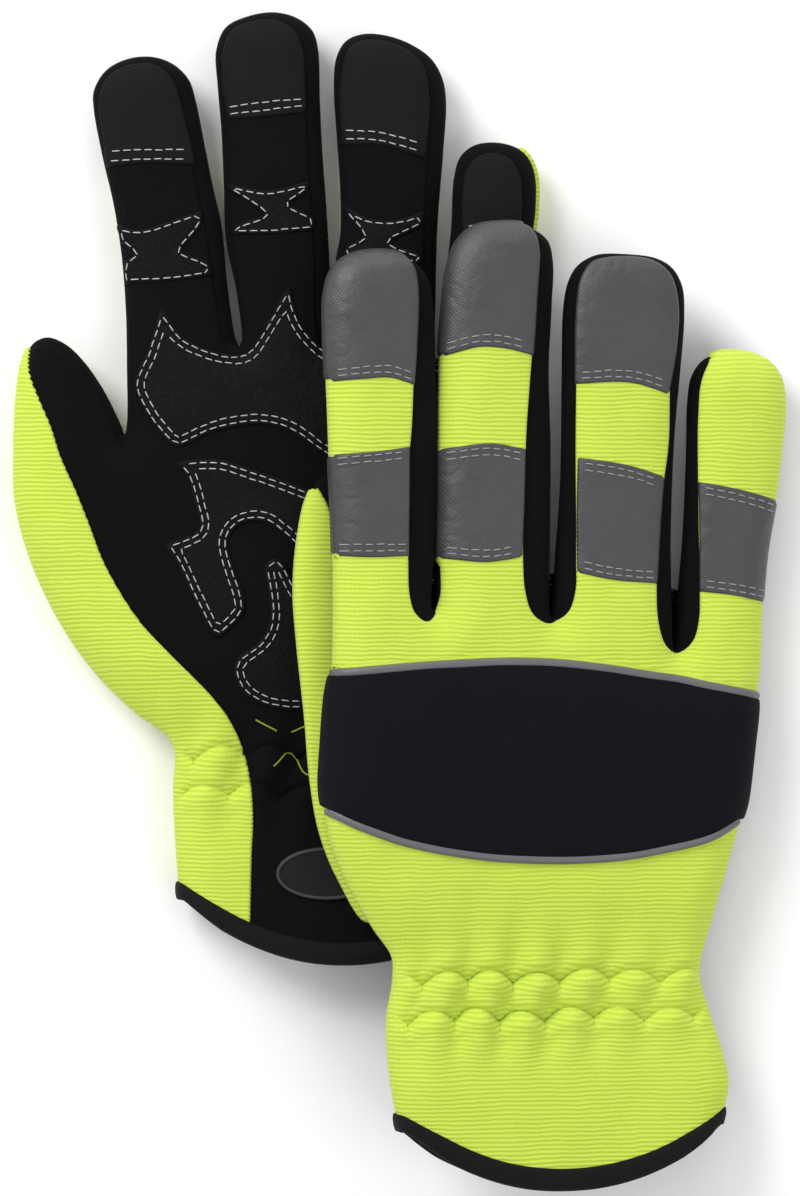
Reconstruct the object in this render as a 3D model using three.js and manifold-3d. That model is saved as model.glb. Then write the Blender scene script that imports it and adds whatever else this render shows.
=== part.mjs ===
// A pair of hi-vis work gloves lying as a loose pile: the left glove palm up on the table,
// the right glove palm down and leaning on it. Each glove is a sewn pouch: a knit back panel
// and a synthetic leather palm panel, joined edge to edge by side gussets and fourchettes,
// with a knuckle pad, piping, reflective patches, palm patches, a gathered wrist and a bound
// cuff. The last part of each finger is a stall of its own that bends about a line across the
// finger. Millimetres, +Z up, +Y towards the fingertips, z = 0 is the table.
import * as THREE from 'three';
import Module from 'manifold-3d';
import { mergeVertices } from 'three/addons/utils/BufferGeometryUtils.js';

const wasm = await Module();
wasm.setup();

// ---- driving dimensions ----
const THICKNESS = 14; // outside of a glove lying flat, palm face to back face
const CLOTH = 1.6; // panel, gusset and stall wall, with its lining
const GAP = 0.3; // clearance kept between pieces that touch
const TRIM = 1.0; // knuckle pad, piping, bands and reflectors
const PATCH = 0.8; // palm patches and badge
const HINGE_GAP = 0.6; // between a finger and its end stall, along the finger
const LEAN_OVER = THREE.MathUtils.degToRad(13.8); // tilt of the right glove on the left one
const FACE = THICKNESS / 2;
const CUFF_RISE = 14; // how far the cuff's corners are above its middle
const CUFF_HALF = 41;
const BINDING = 4.5; // width of the cuff binding tape

const COLOURS = {
  knit: [0xc8e043, 0.85],
  leather: [0x161618, 0.7],
  neoprene: [0x17171d, 0.8],
  reflective: [0x66676c, 0.45],
  piping: [0x6b6c70, 0.5],
  patch: [0x1d1d20, 0.5],
  binding: [0x151515, 0.8],
  elastic: [0xd8d8d4, 0.9],
  badge: [0x202125, 0.4],
};

// One entry a finger: where its axis crosses the knuckle line, its lean towards the thumb in
// degrees, half widths at the knuckle line and at the tip, the height of its tip, and the
// length of the end stall that bends.
const KNUCKLE_Y = 149.5;
const LEFT = {
  name: 'left',
  fingers: {
    index: { x: -37.8, lean: 10.5, base: 11.0, tip: 13.2, top: 233.5, stall: 39 },
    middle: { x: -14.2, lean: 3.5, base: 12.0, tip: 13.2, top: 243.7, stall: 40 },
    ring: { x: 12.0, lean: 0, base: 12.0, tip: 13.6, top: 239.1, stall: 40 },
    little: { x: 35.0, lean: -4.5, base: 10.0, tip: 10.8, top: 211.0, stall: 17 },
  },
  crotches: [157, 157, 147],
  rightSide: [[38.5, 17], [43.5, 30], [40, 44], [36.2, 54], [40, 68], [43.5, 92], [45, 119], [45.2, 140]],
  leftSide: [[-38.5, 17], [-42.5, 30], [-42.6, 45], [-43, 57]],
  thumbOuter: [[-43, 57], [-51.8, 62], [-62, 72.7], [-72.2, 88], [-79.9, 106], [-83.6, 121], [-83.9, 134.9]],
  thumbInner: [[-59.1, 141.1], [-58.1, 137], [-56.9, 137], [-56.4, 142]],
  thumbTip: [[-83.9, 134.9], [-84, 143], [-82.9, 150.6], [-80.6, 158.2], [-77.3, 160.8],
    [-72.2, 159], [-65.8, 153.1], [-60.7, 144.5], [-59.1, 141.1]],
};
const RIGHT = {
  name: 'right',
  fingers: {
    index: { x: -47.2, lean: 0, base: 11.4, tip: 13.0, top: 236.8, stall: 39 },
    middle: { x: -18.8, lean: -2.4, base: 14.3, tip: 14.3, top: 244.5, stall: 40 },
    ring: { x: 14.6, lean: -2.4, base: 14.3, tip: 14.8, top: 237.8, stall: 40 },
    little: { x: 42.6, lean: -5.3, base: 11.0, tip: 12.2, top: 213.3, stall: 24 },
  },
  crotches: [158, 158, 150],
  rightSide: [[38.5, 17], [43.9, 28], [42, 38], [36.5, 53], [41, 68], [47, 92], [51.3, 119], [53, 140]],
  leftSide: [[-38.5, 17], [-44.4, 32], [-44, 45], [-42.3, 58], [-49, 68], [-56.5, 80], [-59.7, 98.5],
    [-58.7, 124], [-58.6, 142]],
};
// The right glove's thumb lies folded flat under its palm; the outline is of that fold.
const FOLDED_THUMB = [[-56, 82], [-63, 99], [-65, 114], [-67.5, 134], [-68.4, 150], [-67.5, 162],
  [-65, 175], [-60.5, 181], [-54, 178], [-48, 166], [-44.5, 148], [-43.5, 120], [-44, 96], [-48, 83]];
const THUMB_THICKNESS = 7;
const THUMB_MOUTH = { x: -53, y: 97, r: 6.5 };

const KNUCKLE_PAD = {
  front: [[-55, 130.2], [-42.3, 132], [-23.8, 133.3], [-5.3, 133.6], [13.2, 131.6], [34.3, 127.6], [47.5, 124.8]],
  rear: [[43.6, 96.4], [31.7, 90.2], [15.9, 86.8], [0, 85.6], [-15.9, 85.6], [-34.3, 87.4], [-47.6, 90.8], [-55, 95]],
};
const PIPING_WIDTH = 2.0;
const PALM_PATCHES = {
  palm_patch_front: [[-46.4, 166.5], [-40.3, 160], [-28.3, 154.5], [-20.7, 161], [-14.3, 172], [-11, 163.5],
    [-2.6, 154.5], [0.5, 154], [12, 168], [20.5, 154], [30, 152], [39, 142], [36.5, 131.4], [22.2, 123.5],
    [9.4, 124.3], [-2, 128.9], [-13.5, 136], [-20.7, 138.8], [-27.6, 138.3], [-36.5, 135], [-44.1, 133.2],
    [-49.3, 141.1], [-52.6, 148]],
  palm_patch_middle: [[-43.4, 128.4], [-32.7, 129.6], [-23.7, 127.3], [-13.5, 122.5], [-3.3, 118.2],
    [9.4, 115.6], [24.8, 117.4], [35, 121.2], [34.5, 108.5], [24.8, 98.3], [12, 93.1], [1.8, 93.7],
    [-5.9, 97], [-11, 104.6], [-14.8, 109.7], [-20.7, 113.6], [-26.3, 112.5], [-29.6, 107.9],
    [-25.5, 100.3], [-24.5, 93.1], [-26.3, 87.5], [-32.9, 82.7], [-40.3, 92.6], [-45.9, 107.2],
    [-37.8, 109.5], [-36.7, 112.3], [-40.1, 118.7]],
  palm_patch_heel: [[-20.7, 101.3], [-18.1, 103.6], [-14.8, 101.2], [-11, 94], [-5.5, 85.5], [3, 81],
    [11.5, 76], [13.3, 70.2], [4.3, 65.6], [-7.9, 64.2], [-13.5, 63.5], [-20.7, 65.3], [-26.3, 69.7],
    [-28.6, 75.8], [-23.7, 80.4], [-18.6, 86], [-18.1, 91.9], [-20.7, 95.7]],
};
// Reflective band on each finger's back, and the reflector over the end stall: distances
// along the finger from the knuckle line and from the hinge line.
const BAND = { half: 9.2, start: 13, end: 34 };
const REFLECTOR = { inset: 3.4, start: 9, tipInset: 3 };
const BADGE = { x: -4.3, y: 24, rx: 13.3, ry: 6.9 };
const WRIST = { y: 54, halfWidth: 33.2, length: 8, cloth: 0.8 };

// ---- helpers ----
const v2 = ([x, y]) => new THREE.Vector2(x, y);

function smooth(points, steps) {
  return new THREE.SplineCurve(points.map(v2)).getPoints(steps);
}

function material(kind) {
  const [color, roughness] = COLOURS[kind];
  return new THREE.MeshStandardMaterial({ color, roughness, metalness: 0 });
}

function mesh(name, geometry, kind) {
  const made = new THREE.Mesh(geometry, material(kind));
  made.name = name;
  return made;
}

// A flat piece of cloth: a plan outline with thickness from z0 to z1.
function plate(outline, z0, z1, holes = []) {
  const shape = new THREE.Shape(outline);
  for (const hole of holes) shape.holes.push(hole);
  const made = new THREE.ExtrudeGeometry(shape, { depth: z1 - z0, bevelEnabled: false, curveSegments: 10 });
  return made.translate(0, 0, z0);
}

// The polyline moved sideways by a distance, to its left when that is positive.
function offset(points, distance, closed = false) {
  const count = points.length;
  return points.map((p, i) => {
    const before = points[closed ? (i + count - 1) % count : Math.max(i - 1, 0)];
    const after = points[closed ? (i + 1) % count : Math.min(i + 1, count - 1)];
    const a = p.clone().sub(before).normalize();
    const b = after.clone().sub(p).normalize();
    if (a.lengthSq() === 0) a.copy(b);
    if (b.lengthSq() === 0) b.copy(a);
    const normal = new THREE.Vector2(-a.y - b.y, a.x + b.x).normalize();
    const spread = Math.max(0.5, normal.dot(new THREE.Vector2(-b.y, b.x)));
    return p.clone().addScaledVector(normal, distance / spread);
  });
}

// A wall of cloth standing between the two panels along part of the glove's outline, which
// runs with the glove's inside on its left.
function wall(path) {
  const inner = offset(path, CLOTH).reverse();
  const reach = FACE - CLOTH - GAP;
  return plate([...path, ...inner], -reach, reach);
}

function solid(geometry) {
  const bare = geometry.clone();
  bare.deleteAttribute('normal');
  bare.deleteAttribute('uv');
  const merged = mergeVertices(bare, 1e-4);
  return new wasm.Manifold(new wasm.Mesh({
    numProp: 3,
    vertProperties: Float32Array.from(merged.attributes.position.array),
    triVerts: Uint32Array.from(merged.index.array),
  }));
}

function geometryOf(manifold) {
  const { vertProperties, triVerts } = manifold.getMesh();
  const made = new THREE.BufferGeometry();
  made.setAttribute('position', new THREE.BufferAttribute(vertProperties, 3));
  made.setIndex(new THREE.BufferAttribute(triVerts, 1));
  return made;
}

function cut(geometry, ...tools) {
  return geometryOf(tools.reduce((rest, tool) => rest.subtract(solid(tool)), solid(geometry)));
}

// ---- one finger ----
// Its axis frame: points on the finger are given by the distance along it from the knuckle
// line and the distance across it.
function frameOf(finger) {
  const angle = THREE.MathUtils.degToRad(finger.lean);
  const along = new THREE.Vector2(-Math.sin(angle), Math.cos(angle));
  const across = new THREE.Vector2(Math.cos(angle), Math.sin(angle));
  const root = new THREE.Vector2(finger.x, KNUCKLE_Y);
  const length = (finger.top - KNUCKLE_Y) / Math.cos(angle);
  const at = (s, t) => root.clone().addScaledVector(along, s).addScaledVector(across, t);
  const half = (s) => THREE.MathUtils.lerp(finger.base, finger.tip, THREE.MathUtils.clamp(s / length, 0, 1));
  return { angle, length, hinge: length - finger.stall, at, half };
}

// Half width and length of the end stall as a rounded outline, in the hinge line's own frame.
function stallOutline(frame, stall) {
  const near = frame.half(frame.hinge);
  const far = frame.half(frame.length);
  const corner = far * 0.72;
  const shape = new THREE.Shape();
  shape.moveTo(-near, HINGE_GAP / 2);
  shape.lineTo(near, HINGE_GAP / 2);
  shape.lineTo(far, stall - corner);
  shape.absarc(far - corner, stall - corner, corner, 0, Math.PI / 2, false);
  shape.absarc(corner - far, stall - corner, corner, Math.PI / 2, Math.PI, false);
  return shape.getPoints(6);
}

// A thimble: the outline as a block, hollowed from its open end. The mouth edge is the
// outline's first side.
function thimble(outline, mouthDepth) {
  const block = plate(outline, -FACE, FACE);
  const hollow = offset(outline, CLOTH, true);
  const a = hollow[0].clone();
  const b = hollow[1].clone();
  const out = new THREE.Vector2(outline[1].y - outline[0].y, outline[0].x - outline[1].x).normalize();
  hollow[0].addScaledVector(out, mouthDepth);
  hollow[1].addScaledVector(out, mouthDepth);
  const cavity = plate([...hollow.slice(0, 2), b, ...hollow.slice(2), a], CLOTH - FACE, FACE - CLOTH);
  return cut(block, cavity);
}

// ---- one glove, in its own frame: origin at the middle of the cuff's edge, z = 0 half way
// through its thickness, +Z out of the back of the hand, thumb on the -X side ----
function cuffEdge(x) {
  return BINDING + GAP + CUFF_RISE * Math.pow(Math.min(1, Math.abs(x) / CUFF_HALF), 2.2);
}

function outlineParts(glove) {
  const names = Object.keys(glove.fingers);
  const frames = Object.fromEntries(names.map((n) => [n, frameOf(glove.fingers[n])]));
  const end = (n) => frames[n].hinge - HINGE_GAP / 2;
  const tipCorner = (n, side) => frames[n].at(end(n), side * frames[n].half(end(n)));
  const little = tipCorner('little', 1);
  const index = tipCorner('index', -1);
  const parts = {};
  parts.side_gusset_little = smooth([...glove.rightSide, [little.x, little.y]], 26);
  const webs = [['ring', 'little'], ['middle', 'ring'], ['index', 'middle']];
  webs.forEach(([a, b], i) => {
    const y = glove.crotches[2 - i];
    const s = y - KNUCKLE_Y;
    const right = frames[b].at(s, -frames[b].half(s));
    const left = frames[a].at(s, frames[a].half(s));
    const bottom = right.clone().add(left).multiplyScalar(0.5);
    bottom.y -= 0.8;
    parts[`fourchette_${a}_${b}`] = [tipCorner(b, -1), right, bottom, left, tipCorner(a, 1)];
  });
  if (glove.thumbInner) {
    parts.fourchette_thumb_index = [index, ...glove.thumbInner.map(v2).reverse()];
    const outer = smooth([...glove.thumbOuter].reverse(), 18);
    const cuff = smooth([...glove.leftSide].reverse(), 8).slice(1);
    parts.side_gusset_thumb = [...outer, ...cuff];
  } else {
    parts.side_gusset_index = smooth([[index.x, index.y], ...[...glove.leftSide].reverse()], 30);
  }
  const first = parts.side_gusset_little[0];
  const lastPart = Object.values(parts).at(-1);
  const last = lastPart.at(-1);
  const cuffCount = 14;
  const cuff = [];
  for (let i = 1; i < cuffCount; i += 1) {
    const x = THREE.MathUtils.lerp(last.x, first.x, i / cuffCount);
    cuff.push(new THREE.Vector2(x, cuffEdge(x)));
  }
  return { parts, frames, cuff, whole: [...Object.values(parts).flat(), ...cuff] };
}

// The ring's section: a flattened oval of quads, drawn anticlockwise in X and Z.
function oval(halfWidth, halfHeight, corner) {
  const w = halfWidth - corner;
  const h = halfHeight - corner;
  const points = [];
  const side = (x0, z0, x1, z1, count) => {
    for (let i = 0; i < count; i += 1) {
      points.push(new THREE.Vector2(x0 + ((x1 - x0) * i) / count, z0 + ((z1 - z0) * i) / count));
    }
  };
  const arc = (x, z, start) => {
    for (let i = 0; i < 5; i += 1) {
      const angle = start + (i * Math.PI) / 10;
      points.push(new THREE.Vector2(x + corner * Math.cos(angle), z + corner * Math.sin(angle)));
    }
  };
  side(-w, -halfHeight, w, -halfHeight, 14);
  arc(w, -h, -Math.PI / 2);
  arc(w, h, 0);
  side(w, halfHeight, -w, halfHeight, 14);
  arc(-w, h, Math.PI / 2);
  arc(-w, -h, Math.PI);
  return points;
}

// A ring of cloth round the glove, from one line across it to another.
function ring(outer, inner, low, high) {
  const rings = [[outer, low], [outer, high], [inner, high], [inner, low]];
  const count = outer.length;
  const position = rings.flatMap(([points, y]) => points.flatMap((p) => [p.x, y(p.x), p.y]));
  const index = [];
  for (let r = 0; r < 4; r += 1) {
    for (let i = 0; i < count; i += 1) {
      const j = (i + 1) % count;
      const [a, b] = [r * count, ((r + 1) % 4) * count];
      index.push(a + i, b + i, b + j, a + i, b + j, a + j);
    }
  }
  const made = new THREE.BufferGeometry();
  made.setAttribute('position', new THREE.Float32BufferAttribute(position, 3));
  made.setIndex(index);
  made.computeVertexNormals();
  return made;
}

function glove(spec, hingeFace) {
  const group = new THREE.Group();
  const add = (name, geometry, kind, parent = group) => parent.add(mesh(`${spec.name}_${name}`, geometry, kind));
  const { parts, frames, whole } = outlineParts(spec);

  const mouth = new THREE.Path().absellipse(THUMB_MOUTH.x, THUMB_MOUTH.y, THUMB_MOUTH.r, THUMB_MOUTH.r * 1.6,
    0, 2 * Math.PI, true, 0);
  const thumbHoles = spec.thumbTip ? [] : [mouth];
  add('back_panel', plate(whole, FACE - CLOTH, FACE), 'knit');
  add('palm_panel', plate(whole, -FACE, CLOTH - FACE, thumbHoles), 'leather');
  for (const [name, path] of Object.entries(parts)) {
    add(name, wall(path), name.startsWith('side') ? 'knit' : 'leather');
  }
  add('cuff_binding', ring(oval(CUFF_HALF + 0.6, FACE + 0.5, FACE - 0.4), oval(CUFF_HALF - 1.8, FACE - 1.9, 4.4),
    (x) => cuffEdge(x) - BINDING - GAP, (x) => cuffEdge(x) - GAP), 'binding');
  const inside = FACE - CLOTH - GAP;
  add('wrist_elastic', ring(oval(WRIST.halfWidth, inside, 4), oval(WRIST.halfWidth - WRIST.cloth, inside - WRIST.cloth,
    3.2), () => WRIST.y - WRIST.length / 2, () => WRIST.y + WRIST.length / 2), 'elastic');

  const outside = FACE + GAP;
  const front = smooth(KNUCKLE_PAD.front, 16);
  const rear = smooth(KNUCKLE_PAD.rear, 18);
  const keep = PIPING_WIDTH / 2 + GAP;
  const padFront = offset(front, -keep);
  const padRear = offset(rear, -keep);
  const strip = (line) => {
    const half = PIPING_WIDTH / 2;
    return plate([...offset(line, half), ...offset(line, -half).reverse()].reverse(), outside, outside + TRIM);
  };
  add('knuckle_pad', plate([...padFront, ...padRear].reverse(), outside, outside + TRIM), 'neoprene');
  add('piping_front', strip(front), 'piping');
  add('piping_rear', strip(rear), 'piping');

  for (const [name, points] of Object.entries(PALM_PATCHES)) {
    const outline = points.map(v2);
    add(name, plate(outline.reverse(), -outside - PATCH, -outside), 'patch');
  }
  const face = new THREE.Shape().absellipse(BADGE.x, BADGE.y, BADGE.rx, BADGE.ry, 0, 2 * Math.PI, false, 0);
  add('cuff_badge', plate(face.getPoints(14), -outside - PATCH, -outside), 'badge');

  for (const [name, frame] of Object.entries(frames)) {
    const finger = spec.fingers[name];
    const bandEnd = Math.min(BAND.end, frame.hinge - 5);
    const half = Math.min(BAND.half, frame.half(BAND.start) - 2);
    const band = [[BAND.start, -half], [BAND.start, half], [bandEnd, half], [bandEnd, -half]];
    add(`${name}_band`, plate(band.map(([s, t]) => frame.at(s, t)), outside, outside + TRIM), 'reflective');

    const pivot = new THREE.Group();
    const line = frame.at(frame.hinge, 0);
    pivot.position.set(line.x, line.y, hingeFace);
    pivot.rotation.z = frame.angle;
    pivot.name = `${spec.name}_${name}`;
    group.add(pivot);
    const outline = stallOutline(frame, finger.stall);
    add(`${name}_stall`, thimble(outline, 3).translate(0, 0, -hingeFace), 'leather', pivot);
    if (name !== 'little') {
      const shade = offset(outline, REFLECTOR.inset, true).filter((p) => p.y > REFLECTOR.start);
      const low = shade.reduce((most, p) => Math.max(most, Math.abs(p.x)), 0);
      const reflector = [new THREE.Vector2(-low, REFLECTOR.start), new THREE.Vector2(low, REFLECTOR.start), ...shade];
      add(`${name}_reflector`, plate(reflector, outside - hingeFace, outside - hingeFace + TRIM), 'reflective', pivot);
    }
  }
  if (spec.thumbTip) addThumbStall(spec, group, add, hingeFace);
  else addFoldedThumb(add);
  return group;
}

// The spread thumb's end stall, which bends about the line between its two lower corners.
function addThumbStall(spec, group, add, hingeFace) {
  const points = spec.thumbTip.map(v2);
  const [left, right] = [points[0], points.at(-1)];
  const middle = left.clone().add(right).multiplyScalar(0.5);
  const pivot = new THREE.Group();
  pivot.name = `${spec.name}_thumb`;
  pivot.position.set(middle.x, middle.y, hingeFace);
  pivot.rotation.z = Math.atan2(right.y - left.y, right.x - left.x);
  group.add(pivot);
  const curve = smooth([...spec.thumbTip].reverse(), 16);
  const local = curve.map((p) => p.clone().sub(middle).rotateAround(new THREE.Vector2(), -pivot.rotation.z));
  for (const p of [local[0], local.at(-1)]) p.y = HINGE_GAP;
  const outline = [local.at(-1), ...local.slice(0, -1)];
  add('thumb_stall', thimble(outline, 3).translate(0, 0, -hingeFace), 'leather', pivot);
}

// The folded thumb: a closed flat stall under the palm, open to the hand through a mouth.
function addFoldedThumb(add) {
  const top = -FACE - PATCH - 2 * GAP;
  const bottom = top - THUMB_THICKNESS;
  const outline = smooth([...FOLDED_THUMB, FOLDED_THUMB[0]].reverse(), 34).slice(0, -1);
  const hollow = offset(outline, CLOTH, true);
  const mouth = new THREE.Shape().absellipse(THUMB_MOUTH.x, THUMB_MOUTH.y, THUMB_MOUTH.r - 1,
    THUMB_MOUTH.r * 1.6 - 1, 0, 2 * Math.PI, false, 0);
  add('thumb_stall', cut(plate(outline, bottom, top), plate(hollow, bottom + 1, top - 1),
    plate(mouth.getPoints(8), bottom + 2, top + 1)), 'leather');
}

// ---- the pair ----
const LEFT_AT = [-15.6, -93.8];
const RIGHT_AT = [39.8, -150.2];
const pair = new THREE.Group();

// Palm up: its back faces the table, so the glove is mirrored through its own plane.
const left = glove(LEFT, -FACE);
left.scale.z = -1;
left.position.set(LEFT_AT[0], LEFT_AT[1], FACE + GAP + TRIM);
pair.add(left);

const right = glove(RIGHT, FACE);
right.rotation.y = LEAN_OVER;
const LOWEST_CORNER = 61.5; // half width out to the little finger's outer side
right.position.set(RIGHT_AT[0], RIGHT_AT[1], LOWEST_CORNER * Math.sin(LEAN_OVER) + FACE * Math.cos(LEAN_OVER));
pair.add(right);

export default pair;
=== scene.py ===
# Looks of the pair of work gloves. Each glove is built in its own frame, in millimetres: origin
# at the middle of the cuff's edge, +Y to the fingertips, thumb at -X, +Z out of the back of the
# hand. Its surface is a height over the plan outline, the same up and down, and every sewn
# piece (knit back, patches, bands, pad, stitches) is laid on that surface.
import math
import bpy
import numpy as np
from mathutils import Matrix, Vector
from mathutils.geometry import delaunay_2d_cdt


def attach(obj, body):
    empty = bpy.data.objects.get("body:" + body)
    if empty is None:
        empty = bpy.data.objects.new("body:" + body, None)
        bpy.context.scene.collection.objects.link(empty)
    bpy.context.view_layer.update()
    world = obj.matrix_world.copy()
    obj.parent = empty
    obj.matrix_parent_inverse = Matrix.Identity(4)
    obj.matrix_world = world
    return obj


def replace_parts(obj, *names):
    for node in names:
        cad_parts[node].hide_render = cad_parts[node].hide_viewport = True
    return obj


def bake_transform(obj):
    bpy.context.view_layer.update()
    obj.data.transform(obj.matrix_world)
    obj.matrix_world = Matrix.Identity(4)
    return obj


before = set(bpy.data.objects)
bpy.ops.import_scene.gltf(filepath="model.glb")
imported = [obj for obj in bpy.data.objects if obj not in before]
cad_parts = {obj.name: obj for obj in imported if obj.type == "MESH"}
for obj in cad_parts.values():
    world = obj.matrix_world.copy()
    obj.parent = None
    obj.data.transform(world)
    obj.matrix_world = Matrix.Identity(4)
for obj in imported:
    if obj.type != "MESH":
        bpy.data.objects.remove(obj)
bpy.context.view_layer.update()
RNG = np.random.default_rng(7)  # one source of unevenness, drawn from in a set order

# ---- how the gloves lie, as in the CAD ----
FACE = 7.0  # half a glove's thickness
LEAN = math.radians(13.8)
LEFT_AT = (-15.6, -93.8, 8.3)
RIGHT_AT = (39.8, -150.2, 61.5 * math.sin(LEAN) + FACE * math.cos(LEAN))
KNUCKLE_Y = 149.5
SPACING = 1.35  # between the points of a cloth mesh
EDGE_ROUND = 12.0  # how far in from its outline a glove is rounded
WRIST = 47.0  # where the elastic gathers the cloth
ARCH = 12.4  # the width of one arch of a gather
PATCH_STEP = 1.1  # between the points of a sewn piece's border
EDGE_RINGS = (0.07, 0.28, 0.7, 1.35, 2.2, 3.3, 4.6)  # rows of points in from a glove's outline
PANEL_RINGS = (0.3, 0.8, 1.6)  # the same for a sewn piece
WHOLE = 5.0  # the edge distance of what has no cut edge


class Finger:
    """A finger's frame: s runs along it from the knuckles and t across it, towards the little finger.
    It leans by lean degrees, its tip is at the height top and tip wide on each side, and its end,
    stall long, lies past its hinge."""

    def __init__(self, x, lean, tip, top, stall):
        self.angle = math.radians(lean)
        self.along = np.array([-math.sin(self.angle), math.cos(self.angle)])
        self.across = np.array([math.cos(self.angle), math.sin(self.angle)])
        self.root = np.array([x, KNUCKLE_Y])
        self.length = (top - KNUCKLE_Y) / math.cos(self.angle)
        self.hinge = self.length - stall
        self.tip = tip

    def at(self, s, t):
        return self.root + s * self.along + t * self.across

    def local(self, p):
        q = np.asarray(p, float) - self.root
        return q @ self.along, q @ self.across


# ---- plan outlines, anticlockwise from the cuff's right corner to its left corner ----
LEFT_OUTLINE = [
    (41.5, 16), (43.5, 30), (41, 44), (36.2, 54), (40, 68), (43.5, 92), (45, 119), (45.2, 140),
    (45.8, 160), (47.6, 180), (49.5, 194), (49.3, 203), (47.5, 207.5), (44.5, 210), (39, 211.3),
    (33.5, 210.5), (30, 207.5), (28.4, 202), (27.6, 188), (26, 176), (24.6, 165), (24.1, 150),
    (23.7, 148.5), (23.3, 150), (23.6, 168), (24.2, 190), (25.6, 208), (26.4, 222), (25.4, 228),
    (22.5, 233), (17, 236.8), (10.5, 239), (4.5, 239.2), (0.3, 237.3), (-2, 233), (-2.6, 226),
    (-1.8, 212), (-1, 200), (-0.9, 188), (-2.2, 180), (-2.6, 160), (-3, 158.6), (-3.4, 160),
    (-3.7, 180), (-4.6, 196), (-5.6, 210), (-6.2, 223), (-6.6, 235), (-8, 240), (-12, 243.4),
    (-18, 244.9), (-25, 243.8), (-30.5, 241), (-33, 235), (-32.6, 226), (-31.6, 214), (-31, 200),
    (-30.4, 186), (-27.6, 172), (-26.4, 160), (-27, 158.6), (-27.8, 160), (-30, 174), (-31.6, 190),
    (-33.8, 200), (-36, 211), (-38.2, 222), (-40, 227.5), (-44, 231.5), (-49.5, 233.4),
    (-56, 232.8), (-61.5, 229.8), (-64.6, 224.5), (-64.6, 220), (-62.4, 208), (-59.4, 195),
    (-57.4, 182), (-56.3, 168), (-56, 152), (-56, 139), (-56.6, 135.8), (-57.4, 138),
    (-61.5, 146.5), (-66.5, 154), (-71.5, 159), (-76.5, 161), (-80.2, 159.4), (-82.6, 154.5),
    (-84, 145), (-84.5, 132), (-84.2, 119), (-81, 106), (-75.5, 93), (-69, 82), (-61.5, 72.5),
    (-53, 64.5), (-44.8, 58.5), (-42.8, 54), (-43.2, 44.5), (-42.6, 30), (-41.5, 16),
]
RIGHT_OUTLINE = [
    (41.5, 15), (43.8, 25), (42, 34), (39, 43), (36.2, 54), (39.5, 68), (44, 83), (47, 95),
    (50, 118), (52.3, 132), (53, 149), (54.2, 162), (57, 177.5), (58.6, 190), (59.4, 201),
    (58, 207.5), (54.5, 211.3), (49.5, 213), (43.5, 213.3), (38.5, 211.5), (35.4, 207.5),
    (34.2, 201), (33.8, 186), (32.8, 165), (31.5, 150), (30.6, 138), (30.2, 136.8), (29.8, 138),
    (29.4, 150), (29.3, 168), (30.3, 192), (31.9, 209), (32.9, 222), (32.4, 230), (29.8, 234.8),
    (25.5, 237.3), (17, 238.3), (9.5, 237.9), (4.8, 235.2), (2.3, 231), (1, 224), (0.6, 205),
    (0.2, 180), (-1.2, 160), (-2.2, 147), (-2.7, 145.3), (-3.1, 147), (-2.9, 165), (-2.7, 188),
    (-3.2, 208), (-2.4, 225), (-2.1, 236), (-3.6, 241.5), (-8.5, 244.6), (-16.5, 245),
    (-22.5, 243.8), (-26.8, 240), (-29.2, 233), (-30.3, 224), (-31.3, 210), (-31.8, 188),
    (-32, 165), (-33, 148.5), (-33.6, 147), (-34.1, 148.5), (-33.2, 165), (-32.8, 190),
    (-33.1, 213), (-33.6, 224), (-35, 231), (-38.5, 235.2), (-43.5, 237), (-50, 237.2), (-55, 236),
    (-59, 233), (-61, 227), (-61.2, 218), (-60.4, 200), (-59.8, 184), (-59, 166), (-59, 134),
    (-60.3, 116), (-61, 98), (-59.2, 88), (-54.5, 77), (-48.5, 66.8), (-43.6, 59.5), (-43.4, 53),
    (-45, 43), (-44, 28), (-41.5, 15),
]
THUMB_FOLD = [
    (-50, 68), (-57, 78), (-62, 90), (-64.6, 104), (-66, 120), (-68, 138), (-69, 152), (-68, 165),
    (-65.5, 176), (-61.5, 181.5), (-56.5, 180), (-50.5, 170), (-46.5, 150), (-44.5, 122),
    (-43.5, 98), (-44.5, 80),
]

LEFT_FINGERS = {
    "index": Finger(-37.8, 10.5, 13.2, 233.5, 39),
    "middle": Finger(-14.2, 3.5, 13.2, 243.7, 40),
    "ring": Finger(12.0, 0, 13.6, 239.1, 40),
    "little": Finger(35.0, -4.5, 10.8, 211.0, 17),
}
RIGHT_FINGERS = {
    "index": Finger(-47.2, 0, 13.0, 236.8, 39),
    "middle": Finger(-18.8, -2.4, 14.3, 244.5, 40),
    "ring": Finger(14.6, -2.4, 14.8, 237.8, 40),
    "little": Finger(42.6, -5.3, 12.2, 213.3, 24),
}
THUMB_HINGE = (np.array([-83.9, 134.9]), np.array([-59.1, 141.1]))


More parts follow.
